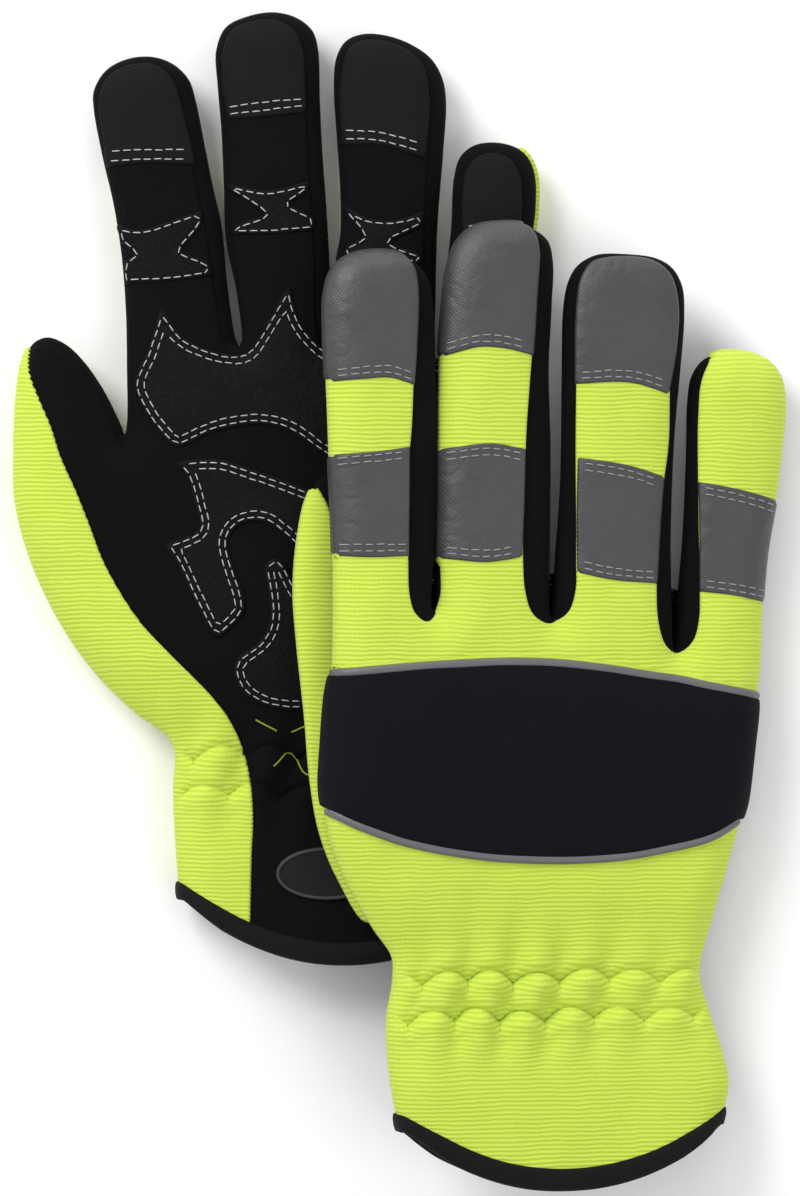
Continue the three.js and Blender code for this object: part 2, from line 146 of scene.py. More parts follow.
# ---- small plan tools ----
def catmull(points, step, closed=False):
    """Points every step along a smooth curve through these."""
    p = np.asarray(points, float)
    n = len(p)
    out = []
    last = n if closed else n - 1
    for i in range(last):
        a, b = p[i], p[(i + 1) % n]
        before = p[(i - 1) % n] if closed or i > 0 else 2 * a - b
        after = p[(i + 2) % n] if closed or i + 2 < n else 2 * b - a
        length = np.linalg.norm(b - a)
        count = max(1, int(round(length / step)))
        u = (np.arange(count) / count)[:, None]
        # centripetal knots keep tight bends from looping
        k = [0, np.linalg.norm(a - before) ** 0.5 + 1e-6]
        k.append(k[1] + length ** 0.5 + 1e-6)
        k.append(k[2] + np.linalg.norm(after - b) ** 0.5 + 1e-6)
        t = k[1] + u * (k[2] - k[1])
        a1 = before * (k[1] - t) / (k[1] - k[0]) + a * (t - k[0]) / (k[1] - k[0])
        a2 = a * (k[2] - t) / (k[2] - k[1]) + b * (t - k[1]) / (k[2] - k[1])
        a3 = b * (k[3] - t) / (k[3] - k[2]) + after * (t - k[2]) / (k[3] - k[2])
        b1 = a1 * (k[2] - t) / (k[2] - k[0]) + a2 * (t - k[0]) / (k[2] - k[0])
        b2 = a2 * (k[3] - t) / (k[3] - k[1]) + a3 * (t - k[1]) / (k[3] - k[1])
        out.append(b1 * (k[2] - t) / (k[2] - k[1]) + b2 * (t - k[1]) / (k[2] - k[1]))
    if not closed:
        out.append(p[-1:])
    return np.vstack(out)


def nearest_segments(points, a, b):
    """Which of the segments a to b is nearest to each point."""
    a32, d32 = a.astype(np.float32), (b - a).astype(np.float32)
    inverse = 1 / np.maximum((d32 ** 2).sum(1), 1e-10)
    out = np.empty(len(points), int)
    for i in range(0, len(points), 1500):
        p = points[i:i + 1500].astype(np.float32)
        wx = p[:, 0:1] - a32[:, 0]
        wy = p[:, 1:2] - a32[:, 1]
        t = (wx * d32[:, 0] + wy * d32[:, 1]) * inverse
        np.clip(t, 0, 1, out=t)
        wx -= t * d32[:, 0]
        wy -= t * d32[:, 1]
        wx *= wx
        wy *= wy
        wx += wy
        out[i:i + 1500] = wx.argmin(1)
    return out


def nearest_on(points, a, b):
    """Distance from each point to these segments, and the way in from the nearest place on them,
    for segments with their inside on the left."""
    points = np.asarray(points, float)
    k = nearest_segments(points, a, b)
    left = np.column_stack([a[:, 1] - b[:, 1], b[:, 0] - a[:, 0]])
    left /= np.maximum(np.linalg.norm(left, axis=1), 1e-9)[:, None]
    joined = np.linalg.norm(np.roll(a, -1, axis=0) - b, axis=1) < 1e-6
    after = np.where(joined[:, None], left + np.roll(left, -1, axis=0), left)
    joined = np.linalg.norm(np.roll(b, 1, axis=0) - a, axis=1) < 1e-6
    before = np.where(joined[:, None], left + np.roll(left, 1, axis=0), left)
    foot, d = a[k], (b - a)[k]
    t = np.clip(((points - foot) * d).sum(1) / np.maximum((d ** 2).sum(1), 1e-12), 0, 1)[:, None]
    away = points - (foot + t * d)
    distance = np.linalg.norm(away, axis=1)
    on_it = before[k] * (1 - t) + after[k] * t
    on_it /= np.maximum(np.linalg.norm(on_it, axis=1), 1e-9)[:, None]
    way = np.where((distance < 0.04)[:, None], on_it, away / np.maximum(distance, 1e-9)[:, None])
    return distance, way


def nearest(points, line, closed):
    """Distance from each point to the line, and the way in from it."""
    a = np.asarray(line, float)
    if closed:
        return nearest_on(points, a, np.roll(a, -1, axis=0))
    return nearest_on(points, a[:-1], a[1:])


def inside(points, polygon):
    """Whether each point is in the polygon, by counting edges crossed."""
    x, y = points[:, 0], points[:, 1]
    hit = np.zeros(len(points), bool)
    a = np.asarray(polygon)
    b = np.roll(a, -1, axis=0)
    for (x0, y0), (x1, y1) in zip(a, b):
        crossing = (y0 > y) != (y1 > y)
        if crossing.any():
            hit ^= crossing & (x < (x1 - x0) * (y - y0) / (y1 - y0 + 1e-15) + x0)
    return hit


def smoothstep(a, b, x):
    t = np.clip((x - a) / (b - a), 0, 1)
    return t * t * (3 - 2 * t)


def dome(t):
    """A quarter circle's height: 0 at 0, and level at 1."""
    return np.sqrt(np.maximum(0, 1 - (1 - t) ** 2))


def wobble(x, y, scale, seed):
    """Smooth irregular waves between about -1 and 1."""
    r = np.random.default_rng(seed)
    total = np.zeros_like(x)
    for _ in range(6):
        angle = r.uniform(0, math.pi)
        k = 2 * math.pi / (scale * r.uniform(0.7, 1.8))
        total += np.sin(k * (x * math.cos(angle) + y * math.sin(angle)) + r.uniform(0, 6.28))
    return total / 3.2


# ---- the surface of a glove ----
def cuff_edge(x):
    """How far up the glove its cuff's edge is: lowest in the middle."""
    return 0.5 + 14 * np.minimum(1, np.abs(x) / 41) ** 2.2


class Glove:
    """A glove's frame, plan and height. side is +1 on the back of the hand and -1 on the palm."""

    def __init__(self, name, outline, fingers, world):
        self.name, self.fingers, self.world = name, fingers, world
        side = catmull(outline, 1.15)
        x = np.linspace(side[-1, 0], side[0, 0], 74)[1:-1]
        ease = smoothstep(0, 1, np.abs(x) / 41.5)
        self.sewn = side
        self.cuff = np.column_stack([x, cuff_edge(x) + (side[0, 1] - cuff_edge(41.5)) * ease])
        self.whole = np.vstack([side, self.cuff])
        self.mouth = np.vstack([side[-1:], self.cuff, side[:1]])

    def fullness(self, y):
        """The half thickness where the glove isn't rounded by its edge."""
        b = 6.6 + 0.9 * smoothstep(168, 140, y) + 0.5 * smoothstep(150, 110, y)
        b -= 2.2 * smoothstep(80, 58, y)
        b += 1.5 * smoothstep(52, 24, y)
        return b

    def relief(self, x, y, side):
        """Slack, and the gathers that the elastic makes at the wrist, as a height: two rows of
        arches, with folds running up and down from where two arches meet."""
        z = 0.28 * wobble(x, y, 34, 3 + side) + 0.12 * wobble(x, y, 12, 8 + side)
        u = x / ARCH + 0.10 * np.sin(x / 17 + 2 * side)
        strength = 0.75 + 0.25 * np.sin(x / 13.0 + 1.5 + side)
        for middle, shift in ((WRIST + 5.2, 0.0), (WRIST - 4.6, 0.32)):
            line = middle + 3.3 * np.abs(np.sin(np.pi * (u + shift)))
            line += 0.5 * np.sin(x / 5.3 + shift)
            z -= 2.3 * strength * np.exp(-((y - line) / 1.25) ** 2)
            z += 0.9 * strength * np.exp(-((y - line + 3.0) / 2.1) ** 2)
        fold = np.cos(2 * np.pi * (u + 0.32 * smoothstep(WRIST + 6, WRIST - 6, y)))
        above = np.exp(-(np.maximum(y - WRIST - 6, 0) / 11.0) ** 2)
        below = np.exp(-(np.maximum(WRIST - 7 - y, 0) / 6.5) ** 2)
        z -= 1.6 * strength * fold * above * below
        return z

    def surface(self, points, side, lift=0.0):
        """Places on the glove's surface above plan points, lifted off it, with their normals."""
        p = np.asarray(points, float)
        x, y = p[:, 0], p[:, 1]
        d, inward = nearest(p, self.sewn, False)
        n = 2.25
        t = np.clip(d / EDGE_ROUND, 0, 1)
        q = np.maximum(1 - (1 - t) ** n, 0) ** (1 / n)
        tc = np.clip(d / EDGE_ROUND, 0.004, 1)
        qc = (1 - (1 - tc) ** n) ** (1 / n)
        slope = (1 - tc) ** (n - 1) * qc ** (1 - n) / EDGE_ROUND
        b = self.fullness(y)
        fade = smoothstep(0, 4.5, d)
        e = 0.2
        r0 = self.relief(x, y, side)
        rx = (self.relief(x + e, y, side) - r0) / e
        ry = (self.relief(x, y + e, side) - r0) / e
        z = b * q + r0 * fade
        gx = b * slope * inward[:, 0] + rx * fade
        gy = b * slope * inward[:, 1] + ry * fade
        normal = np.column_stack([-gx, -gy, np.ones(len(p))])
        normal /= np.linalg.norm(normal, axis=1)[:, None]
        place = np.column_stack([x, y, z]) + normal * np.reshape(lift, (-1, 1))
        place[:, 2] *= side
        normal[:, 2] *= side
        return place, normal


def flip_to_world(at):
    """The left glove's frame: mirrored through its plane, so its palm is up."""
    m = Matrix.Diagonal((1, 1, -1, 1))
    m.translation = Vector(at)
    return m


def lean_to_world(at):
    """The right glove's frame: it leans on the left one."""
    m = Matrix.Rotation(LEAN, 4, "Y")
    m.translation = Vector(at)
    return m


LEFT = Glove("left", LEFT_OUTLINE, LEFT_FINGERS, flip_to_world(LEFT_AT))
RIGHT = Glove("right", RIGHT_OUTLINE, RIGHT_FINGERS, lean_to_world(RIGHT_AT))


# ---- meshing ----
def rings(border, closed, depths):
    """Points at set distances inside a border, which runs with its inside on the left."""
    a = np.asarray(border, float)
    if closed:
        tangent = np.roll(a, -1, axis=0) - np.roll(a, 1, axis=0)
    else:
        tangent = np.gradient(a, axis=0)
    tangent /= np.maximum(np.linalg.norm(tangent, axis=1), 1e-9)[:, None]
    normal = np.column_stack([-tangent[:, 1], tangent[:, 0]])
    out = []
    for depth in depths:
        p = a + normal * depth
        d, _ = nearest(p, a, closed)
        out.append(p[d > depth * 0.93])
    return out


def fill(low, high, spacing):
    """A slightly uneven triangular grid of points over a rectangle."""
    rows = np.arange(low[1], high[1], spacing * 0.866)
    grid = []
    for i, y in enumerate(rows):
        x = np.arange(low[0] + (i % 2) * spacing / 2, high[0], spacing)
        grid.append(np.column_stack([x, np.full(len(x), y)]))
    grid = np.vstack(grid)
    return grid + RNG.uniform(-0.12, 0.12, grid.shape) * spacing


def triangulate(border, extra):
    """Faces over the inside of a closed border, which comes first in the vertices returned."""
    n = len(border)
    points = np.vstack([border, extra])
    coords = [Vector((float(p[0]), float(p[1]))) for p in points]
    edges = [(i, (i + 1) % n) for i in range(n)]
    verts, _, faces, _, _, _ = delaunay_2d_cdt(coords, edges, [], 0, 1e-5, False)
    verts = np.array([(v.x, v.y) for v in verts])
    faces = np.array([list(f) for f in faces], int)
    return verts, faces[inside(verts[faces].mean(1), border)]


def panel(border, spacing):
    """Vertices and faces over a sewn piece's plan, finer near its border."""
    ring = rings(border, True, PANEL_RINGS)
    ring = [r[inside(r, border)] for r in ring]
    grid = fill(border.min(0), border.max(0), spacing)
    at_wrist = np.abs(grid[:, 1] - WRIST) < 13
    if at_wrist.any():
        gathers = fill((border[:, 0].min(), WRIST - 13), (border[:, 0].max(), WRIST + 13), 0.85)
        grid = np.vstack([grid[~at_wrist], gathers])
    grid = grid[inside(grid, border)]
    d, _ = nearest(grid, border, True)
    grid = grid[d > PANEL_RINGS[-1] + spacing * 0.45]
    points, faces = triangulate(border, np.vstack(ring + [grid]))
    d, _ = nearest(points, border, True)
    d[:len(border)] = 0
    return points, faces, d


class Piece:
    """A mesh in a glove's frame, with plan coordinates and distance from its border for looks."""

    def __init__(self, verts, normals, faces, plan, edge):
        self.verts, self.normals, self.faces = verts, normals, faces
        self.plan, self.edge = plan, edge

    def __add__(self, other):
        shift = len(self.verts)
        return Piece(np.vstack([self.verts, other.verts]), np.vstack([self.normals, other.normals]),
                     np.vstack([self.faces, other.faces + shift]), np.vstack([self.plan, other.plan]),
                     np.concatenate([self.edge, other.edge]))


def ccw(border):
    """The border, turned if need be to have its inside on the left."""
    x, y = border[:, 0], border[:, 1]
    return border if (x * np.roll(y, -1) - y * np.roll(x, -1)).sum() > 0 else border[::-1].copy()


def shell(glove, side, inset=0.0):
    """One side of the glove's own cloth, from its sewn edge in."""
    ring = rings(glove.sewn, False, EDGE_RINGS)
    grid = fill(glove.whole.min(0), glove.whole.max(0), SPACING)
    grid = grid[inside(grid, glove.whole)]
    d, _ = nearest(grid, glove.whole, True)
    grid = grid[d > 0.8]
    d, _ = nearest(grid, glove.sewn, False)
    grid = grid[d > 5.2]
    kept = [r[inside(r, glove.whole)] for r in ring]
    points, faces = triangulate(glove.whole, np.vstack(kept + [grid]))
    d, _ = nearest(points, glove.sewn, False)
    place, normal = glove.surface(points, side)
    if inset:
        place = place - normal * inset * smoothstep(0, 2.0, d)[:, None]
    if side < 0:
        faces = faces[:, ::-1]
    return Piece(place, normal, faces, points, d)


def patch(glove, side, border, thickness, base=0.0, round_in=0.9, spacing=SPACING, puff=0.0,
          puff_in=8.0):
    """A sewn piece lying on the glove. Its border is rounded and sunk, but where it reaches the
    glove's own outline it wraps round to it at full thickness, with a hem."""
    border = ccw(border)
    points, faces, _ = panel(border, spacing)
    away, _ = nearest(border, glove.whole, True)
    wraps = away < 0.05
    free = ~(wraps & np.roll(wraps, -1))
    d = nearest_on(points, border[free], np.roll(border, -1, axis=0)[free])[0]
    t = np.clip(d / round_in, 0, 1)
    lift = base + thickness * dome(t) - 0.3 * (1 - smoothstep(0, 0.25, d))
    if puff:
        lift = lift + puff * dome(np.clip(d / puff_in, 0, 1))
    place, _ = glove.surface(points, side, lift)
    n = len(border)
    hem, _ = glove.surface(points[:n], side, np.full(n, -0.35))
    first = len(points)
    i = np.arange(n)
    j = (i + 1) % n
    hems = np.vstack([np.column_stack([i, first + i, first + j]), np.column_stack([i, first + j, j])])
    faces = np.vstack([faces, hems])
    place = np.vstack([place, hem])
    points = np.vstack([points, points[:n]])
    d = np.concatenate([d, np.where(wraps, WHOLE, 0.0)])
    if side < 0:
        faces = faces[:, ::-1]
    return Piece(place, normal_of(place, faces), faces, points, d)


def normal_of(verts, faces):
    """Smooth normals of a mesh."""
    a, b, c = (verts[faces[:, i]] for i in range(3))
    face = np.cross(b - a, c - a)
    out = np.zeros_like(verts)
    for i in range(3):
        np.add.at(out, faces[:, i], face)
    return out / np.maximum(np.linalg.norm(out, axis=1), 1e-12)[:, None]


def along_line(line, step, start=0.0):
    """Evenly spaced points on an open line."""
    line = np.asarray(line, float)
    run = np.concatenate([[0], np.cumsum(np.linalg.norm(np.diff(line, axis=0), axis=1))])
    at = np.arange(start, run[-1], step)
    return np.column_stack([np.interp(at, run, line[:, i]) for i in range(2)])


def around_ring(angle, across, up):
    """Ways out from each centre at these angles, from across to up."""
    return np.cos(angle)[:, None] * across[:, None] + np.sin(angle)[:, None] * up[:, None]


def lofted(n, k, closed=False):
    """Faces between n loops of k points each."""
    i, j = np.meshgrid(np.arange(n if closed else n - 1), np.arange(k), indexing="ij")
    i, j = i.ravel(), j.ravel()
    ahead, aside = (i + 1) % n, (j + 1) % k
    a, b = i * k + j, ahead * k + j
    c, d = ahead * k + aside, i * k + aside
    return np.vstack([np.column_stack([a, b, c]), np.column_stack([a, c, d])])


def rod(n, k):
    """Faces of a rod of n loops of k points, with its two ends closed."""
    last = (n - 1) * k
    ends = [[0, j, j + 1] for j in range(1, k - 1)]
    ends += [[last, last + j + 1, last + j] for j in range(1, k - 1)]
    return np.vstack([lofted(n, k), ends])


def tube(glove, side, line, radius, lift, flat=1.0, around=10):
    """A cord of cloth, such as piping, laid along a line on the glove."""
    line = along_line(line, 1.0)
    centre, normal = glove.surface(line, side, lift)
    tangent = np.gradient(centre, axis=0)
    tangent /= np.linalg.norm(tangent, axis=1)[:, None]
    across = np.cross(tangent, normal)
    angle = np.arange(around) * 2 * np.pi / around
    verts = (centre[:, None] + radius * around_ring(angle, across, flat * normal)).reshape(-1, 3)
    n = len(line)
    faces = rod(n, around)
    plan = np.column_stack([np.repeat(np.arange(n) * 1.0, around), np.tile(angle * radius, n)])
    return Piece(verts, normal_of(verts, faces), faces, plan, np.full(len(verts), WHOLE))


STITCH_LENGTH, STITCH_GAP, THREAD_RADIUS = 1.9, 0.75, 0.155
STITCH_SIDES = 6


def stitches(glove, side, line, lift):
    """A row of thread stitches along a line, each a short rounded dash that dips in at its ends."""
    start = along_line(line, STITCH_LENGTH + STITCH_GAP, STITCH_GAP)
    tail = along_line(line, STITCH_LENGTH + STITCH_GAP, STITCH_GAP + STITCH_LENGTH)
    n = min(len(start), len(tail))
    start, tail = start[:n], tail[:n]
    jitter = RNG.uniform(-0.1, 0.1, (n, 2))
    a, na = glove.surface(start + jitter * 0.6, side, lift)
    b, nb = glove.surface(tail + jitter, side, lift)
    middle, nm = glove.surface((start + tail) / 2 + jitter * 0.8, side, lift + 0.1)
    stations = [(a, na, 0.25, -0.16), (a * 0.88 + middle * 0.12, na, 0.85, 0.0), (middle, nm, 1.0, 0.0),
                (b * 0.88 + middle * 0.12, nb, 0.85, 0.0), (b, nb, 0.25, -0.16)]
    tangent = b - a
    tangent /= np.linalg.norm(tangent, axis=1)[:, None]
    angle = np.arange(STITCH_SIDES) * 2 * np.pi / STITCH_SIDES
    loops = []
    for centre, normal, grow, drop in stations:
        across = np.cross(tangent, normal)
        across /= np.linalg.norm(across, axis=1)[:, None]
        ring = around_ring(angle, across, normal)
        loops.append((centre + normal * drop)[:, None] + THREAD_RADIUS * grow * ring)
    per = len(stations) * STITCH_SIDES
    verts = np.stack(loops, 1).reshape(-1, 3)
    one = rod(len(stations), STITCH_SIDES)
    faces = (one[None] + (np.arange(n) * per)[:, None, None]).reshape(-1, 3)
    plan = np.repeat((start + tail) / 2, per, axis=0)
    return Piece(verts, normal_of(verts, faces), faces, plan, np.full(len(verts), WHOLE))


def inset_line(border, depth):
    """The closed line a set distance inside a border."""
    kept = rings(ccw(border), True, (depth,))[0]
    return np.vstack([kept, kept[:1]])


def outline_part(glove, start, end):
    """The glove's outline, in its own order, between its points nearest to start and end."""
    i = ((glove.whole - np.array(start)) ** 2).sum(1).argmin()
    j = ((glove.whole - np.array(end)) ** 2).sum(1).argmin()
    if j >= i:
        return glove.whole[i:j + 1]
    return np.vstack([glove.whole[i:], glove.whole[:j + 1]])


def chain(*parts, step=PATCH_STEP):
    """A closed border from plan lists, each smoothed, and ready lines, one after another. A list
    that follows another one starts at its end."""
    out = []
    corner = None
    for part in parts:
        line = part
        if isinstance(part, list):
            meets = corner is None or tuple(corner) == tuple(part[0])
            line = catmull(part if meets else [corner, *part], step)
        corner = part[-1] if isinstance(part, list) else None
        if out:
            gap = np.linalg.norm(out[-1][-1] - line[0])
            if gap < 0.15:
                line = line[1:]
            elif gap > 1.6 * step:
                line = np.vstack([catmull([out[-1][-1], line[0]], step)[1:-1], line])
        out.append(line)
    joined = np.vstack(out)
    gap = np.linalg.norm(joined[0] - joined[-1])
    if gap < 0.15:
        return joined[:-1]
    if gap > 1.6 * step:
        joined = np.vstack([joined, catmull([joined[-1], joined[0]], step)[1:-1]])
    return joined


# ---- materials ----
def material(name):
    m = bpy.data.materials.new(name)
    m.use_nodes = True
    return m, m.node_tree, m.node_tree.nodes["Principled BSDF"]


def link(tree, a, b):
    tree.links.new(a, b)


def maths(tree, operation, a, b=None, c=None, clamp=False):
    n = tree.nodes.new("ShaderNodeMath")
    n.operation = operation
    n.use_clamp = clamp
    for i, value in enumerate((a, b, c)):
        if value is None:
            continue
        if isinstance(value, (int, float)):
            n.inputs[i].default_value = value
        else:
            link(tree, value, n.inputs[i])
    return n.outputs[0]


def plan_xy(tree):
    uv = tree.nodes.new("ShaderNodeUVMap")
    uv.uv_map = "plan"
    split = tree.nodes.new("ShaderNodeSeparateXYZ")
    link(tree, uv.outputs[0], split.inputs[0])
    return uv.outputs[0], split.outputs[0], split.outputs[1]


def noise(tree, vector, scale, detail=3.0, rough=0.55, kind="noise"):
    n = tree.nodes.new("ShaderNodeTexNoise" if kind == "noise" else "ShaderNodeTexVoronoi")
    link(tree, vector, n.inputs["Vector"])
    n.inputs["Scale"].default_value = scale
    if kind == "noise":
        n.inputs["Detail"].default_value = detail
        n.inputs["Roughness"].default_value = rough
        return n.outputs["Fac"]
    return n.outputs["Distance"]


def edge_attribute(tree):
    n = tree.nodes.new("ShaderNodeAttribute")
    n.attribute_name = "edge"
    return n.outputs["Fac"]


def bump(tree, height, strength, distance, after=None):
    n = tree.nodes.new("ShaderNodeBump")
    n.inputs["Strength"].default_value = strength
    n.inputs["Distance"].default_value = distance
    link(tree, height, n.inputs["Height"])
    if after is not None:
        link(tree, after, n.inputs["Normal"])
    return n.outputs[0]


def mix_colour(tree, factor, a, b):
    n = tree.nodes.new("ShaderNodeMix")
    n.data_type = "RGBA"
    for socket, value in ((n.inputs[0], factor), (n.inputs[6], a), (n.inputs[7], b)):
        if isinstance(value, tuple):
            socket.default_value = (*value, 1.0)
        elif isinstance(value, (int, float)):
            socket.default_value = value
        else:
            link(tree, value, socket)
    return n.outputs[2]


def wave(tree, coordinate, pitch, shift=None):
    """A sine between 0 and 1 along a plan coordinate in millimetres."""
    k = maths(tree, "MULTIPLY", coordinate, 2 * math.pi / pitch)
    if shift is not None:
        k = maths(tree, "ADD", k, shift)
    s = maths(tree, "SINE", k)
    return maths(tree, "MULTIPLY_ADD", s, 0.5, 0.5)


RIB_PITCH, LOOP_PITCH = 1.12, 0.92  # of the knit, in mm


def knit_material(name, colour, dark):
    """Ribbed knit: uneven ribs made of loops, with painted shade in the grooves between them, slightly
    worn, dark right at a cut edge.
    """
    m, tree, shader = material(name)
    vector, x, y = plan_xy(tree)
    slow = noise(tree, vector, 0.07, 2)
    quick_noise = noise(tree, vector, 0.55, 3)
    shift = maths(tree, "MULTIPLY_ADD", slow, 9.0, maths(tree, "MULTIPLY", quick_noise, 1.6))
    rib = wave(tree, y, RIB_PITCH, shift)
    rib = maths(tree, "POWER", rib, 0.8)
    stitch = wave(tree, x, LOOP_PITCH, maths(tree, "MULTIPLY", slow, 7.0))
    loops = maths(tree, "MULTIPLY_ADD", maths(tree, "MULTIPLY", stitch, rib), 0.30, rib)
    fuzz = noise(tree, vector, 3.2, 3, 0.7)
    height = maths(tree, "MULTIPLY_ADD", fuzz, 0.28, loops)
    # painted shade: the yarn's colour goes to the darker yellow where the ribs and loops are low, as if
    # in the shade of the grooves
    tone = maths(tree, "MULTIPLY_ADD", loops, 0.62, maths(tree, "MULTIPLY", fuzz, 0.40))
    ribs_with_painted_shade = mix_colour(tree, maths(tree, "MINIMUM", tone, 1.0), dark, colour)
    wear = noise(tree, vector, 0.035, 4, 0.6)
    worn_here = maths(tree, "MULTIPLY", maths(tree, "SUBTRACT", wear, 0.42), 0.9, clamp=True)
    worn = mix_colour(tree, worn_here, ribs_with_painted_shade, tuple(c * 0.90 for c in colour))
    teeth = wave(tree, maths(tree, "ADD", x, y), RIB_PITCH, shift)
    cut_edge = maths(tree, "MULTIPLY_ADD", teeth, 0.16, 0.14)
    bite = maths(tree, "LESS_THAN", edge_attribute(tree), cut_edge)
    edged = mix_colour(tree, bite, worn, (0.012, 0.012, 0.011))
    link(tree, edged, shader.inputs["Base Color"])
    shader.inputs["Roughness"].default_value = 0.86
    shader.inputs["Specular IOR Level"].default_value = 0.18
    shader.inputs["Sheen Weight"].default_value = 0.22
    shader.inputs["Sheen Roughness"].default_value = 0.5
    shader.inputs["Sheen Tint"].default_value = (0.9, 1.0, 0.5, 1.0)
    link(tree, bump(tree, height, 0.5, 0.0003), shader.inputs["Normal"])
    return m


def cloth_material(name, low, high, roughness, grain, grain_depth, sheen=0.1, weave=None, crease=0.0,
                   specular=0.3, metallic=0.0, cells=False):
    """Cloth or leather: a mottled colour, a fine grain, and a weave where it has one."""
    m, tree, shader = material(name)
    vector, x, y = plan_xy(tree)
    fine = noise(tree, vector, grain, 4, 0.65)
    broad = noise(tree, vector, 0.09, 4, 0.6)
    height = fine
    if cells:
        cell = noise(tree, vector, grain * 0.55, kind="cells")
        height = maths(tree, "MULTIPLY_ADD", cell, 0.9, maths(tree, "MULTIPLY", fine, 0.5))
    if weave:
        warp = wave(tree, maths(tree, "ADD", x, maths(tree, "MULTIPLY", y, 0.6)), weave)
        weft = wave(tree, maths(tree, "SUBTRACT", y, maths(tree, "MULTIPLY", x, 0.35)), weave * 0.9)
        woven = maths(tree, "MAXIMUM", warp, weft)
        height = maths(tree, "MULTIPLY_ADD", woven, 0.8, maths(tree, "MULTIPLY", fine, 0.5))
    tone = maths(tree, "MULTIPLY_ADD", height, 0.55, maths(tree, "MULTIPLY", broad, 0.5))
    link(tree, mix_colour(tree, tone, low, high), shader.inputs["Base Color"])
    shade = maths(tree, "MULTIPLY_ADD", broad, 0.22, roughness - 0.11)
    link(tree, shade, shader.inputs["Roughness"])
    shader.inputs["Specular IOR Level"].default_value = specular
    shader.inputs["Metallic"].default_value = metallic
    shader.inputs["Sheen Weight"].default_value = sheen
    shader.inputs["Sheen Roughness"].default_value = 0.45
    normal = bump(tree, height, 0.5, grain_depth)
    if crease:
        folds = noise(tree, vector, 0.16, 2, 0.45)
        ridge = maths(tree, "ABSOLUTE", maths(tree, "SUBTRACT", folds, 0.5))
        normal = bump(tree, ridge, 0.5, crease, normal)
    link(tree, normal, shader.inputs["Normal"])
    return m


YELLOW = (0.61, 0.75, 0.10)
# the darker yellow here is painted shade for the grooves between the knit's ribs
KNIT = knit_material("hi-vis knit", YELLOW, (0.44, 0.56, 0.04))
SUEDE = cloth_material("black suede", (0.0015, 0.0015, 0.0015), (0.0065, 0.0065, 0.0068), 0.92, 1.3,
                       0.00035,
                       sheen=0.012, specular=0.07)
LEATHER = cloth_material("grained patch", (0.0015, 0.0015, 0.0017), (0.007, 0.007, 0.0078), 0.66, 1.5,
                         0.00032,
                         sheen=0.0, specular=0.08, cells=True)
TWILL = cloth_material("twill fingertip", (0.002, 0.002, 0.0024), (0.010, 0.010, 0.011), 0.68, 2.2,
                       0.00030,
                       sheen=0.0, weave=0.95, specular=0.09)
NEOPRENE = cloth_material("neoprene", (0.002, 0.002, 0.0034), (0.0055, 0.0055, 0.0085), 0.8, 2.6,
                          0.00014,
                          sheen=0.01, weave=0.8, specular=0.1)
REFLECTIVE = cloth_material("reflective cloth", (0.044, 0.044, 0.047), (0.078, 0.078, 0.084), 0.46, 2.4,
                            0.00012, sheen=0.03, weave=0.7, crease=0.0016, specular=0.45, metallic=0.4)
PIPING = cloth_material("piping", (0.085, 0.085, 0.09), (0.15, 0.15, 0.158), 0.5, 2.2, 0.0001,
                        weave=0.7,
                        specular=0.4, metallic=0.25)
THREAD = cloth_material("thread", (0.30, 0.30, 0.31), (0.62, 0.62, 0.62), 0.7, 6.0, 0.00008,
                        specular=0.3)
DARK_THREAD = cloth_material("grey thread", (0.20, 0.20, 0.21), (0.40, 0.40, 0.41), 0.7, 6.0, 0.00008)
YELLOW_THREAD = cloth_material("yellow thread", (0.16, 0.22, 0.01), (0.34, 0.44, 0.03), 0.7, 6.0,
                               0.00008)
TAPE = cloth_material("binding tape", (0.002, 0.002, 0.002), (0.009, 0.009, 0.009), 0.78, 2.0, 0.0002,
                      sheen=0.015, weave=0.9, specular=0.12)
LINING = cloth_material("lining", (0.010, 0.010, 0.010), (0.022, 0.022, 0.022), 0.9, 1.4, 0.0002,
                        weave=1.1)
RUBBER = cloth_material("badge rubber", (0.004, 0.004, 0.0045), (0.010, 0.010, 0.011), 0.62, 3.0,
                        0.00006,
                        sheen=0.0, specular=0.2)
RIM = cloth_material("badge rim", (0.030, 0.030, 0.032), (0.055, 0.055, 0.058), 0.55, 3.0, 0.00006,
                     sheen=0.0)


# ---- pieces into objects ----
CUT_BACK = 10.5  # a finger's own objects start this far before its hinge
BLEND = 9.0  # and a finger end's start and end points are set this far before it and as far after it
THUMB_CUT, THUMB_BLEND = 4.5, (3.5, 12)  # the same for the thumb, whose end point lies further after its hinge


def thumb_hinge():
    """The middle of the thumb's hinge line and the way from it to the thumb's tip."""
    a, b = THUMB_HINGE
    line = (b - a) / np.linalg.norm(b - a)
    return (a + b) / 2, np.array([-line[1], line[0]])


def region_of(glove, points):
    """Which finger end each plan point is on, or -1 on the hand; and the fingers' names."""
    names = list(glove.fingers)
    out = np.full(len(points), -1)
    for i, name in enumerate(names):
        f = glove.fingers[name]
        s, t = f.local(points)
        out[(s > f.hinge - CUT_BACK) & (np.abs(t) < 16.3) & (s < f.length + 8)] = i
    if glove.name == "left":
        middle, up = thumb_hinge()
        s = (points - middle) @ up
        out[(s > -THUMB_CUT) & (points[:, 0] < -56.6) & (points[:, 1] < 175)] = len(names)
        names = names + ["thumb"]
    return out, names


def to_world(glove, place, normal):
    m = np.array(glove.world)
    moved = place @ m[:3, :3].T + m[:3, 3]
    return moved / 1000, normal @ m[:3, :3].T


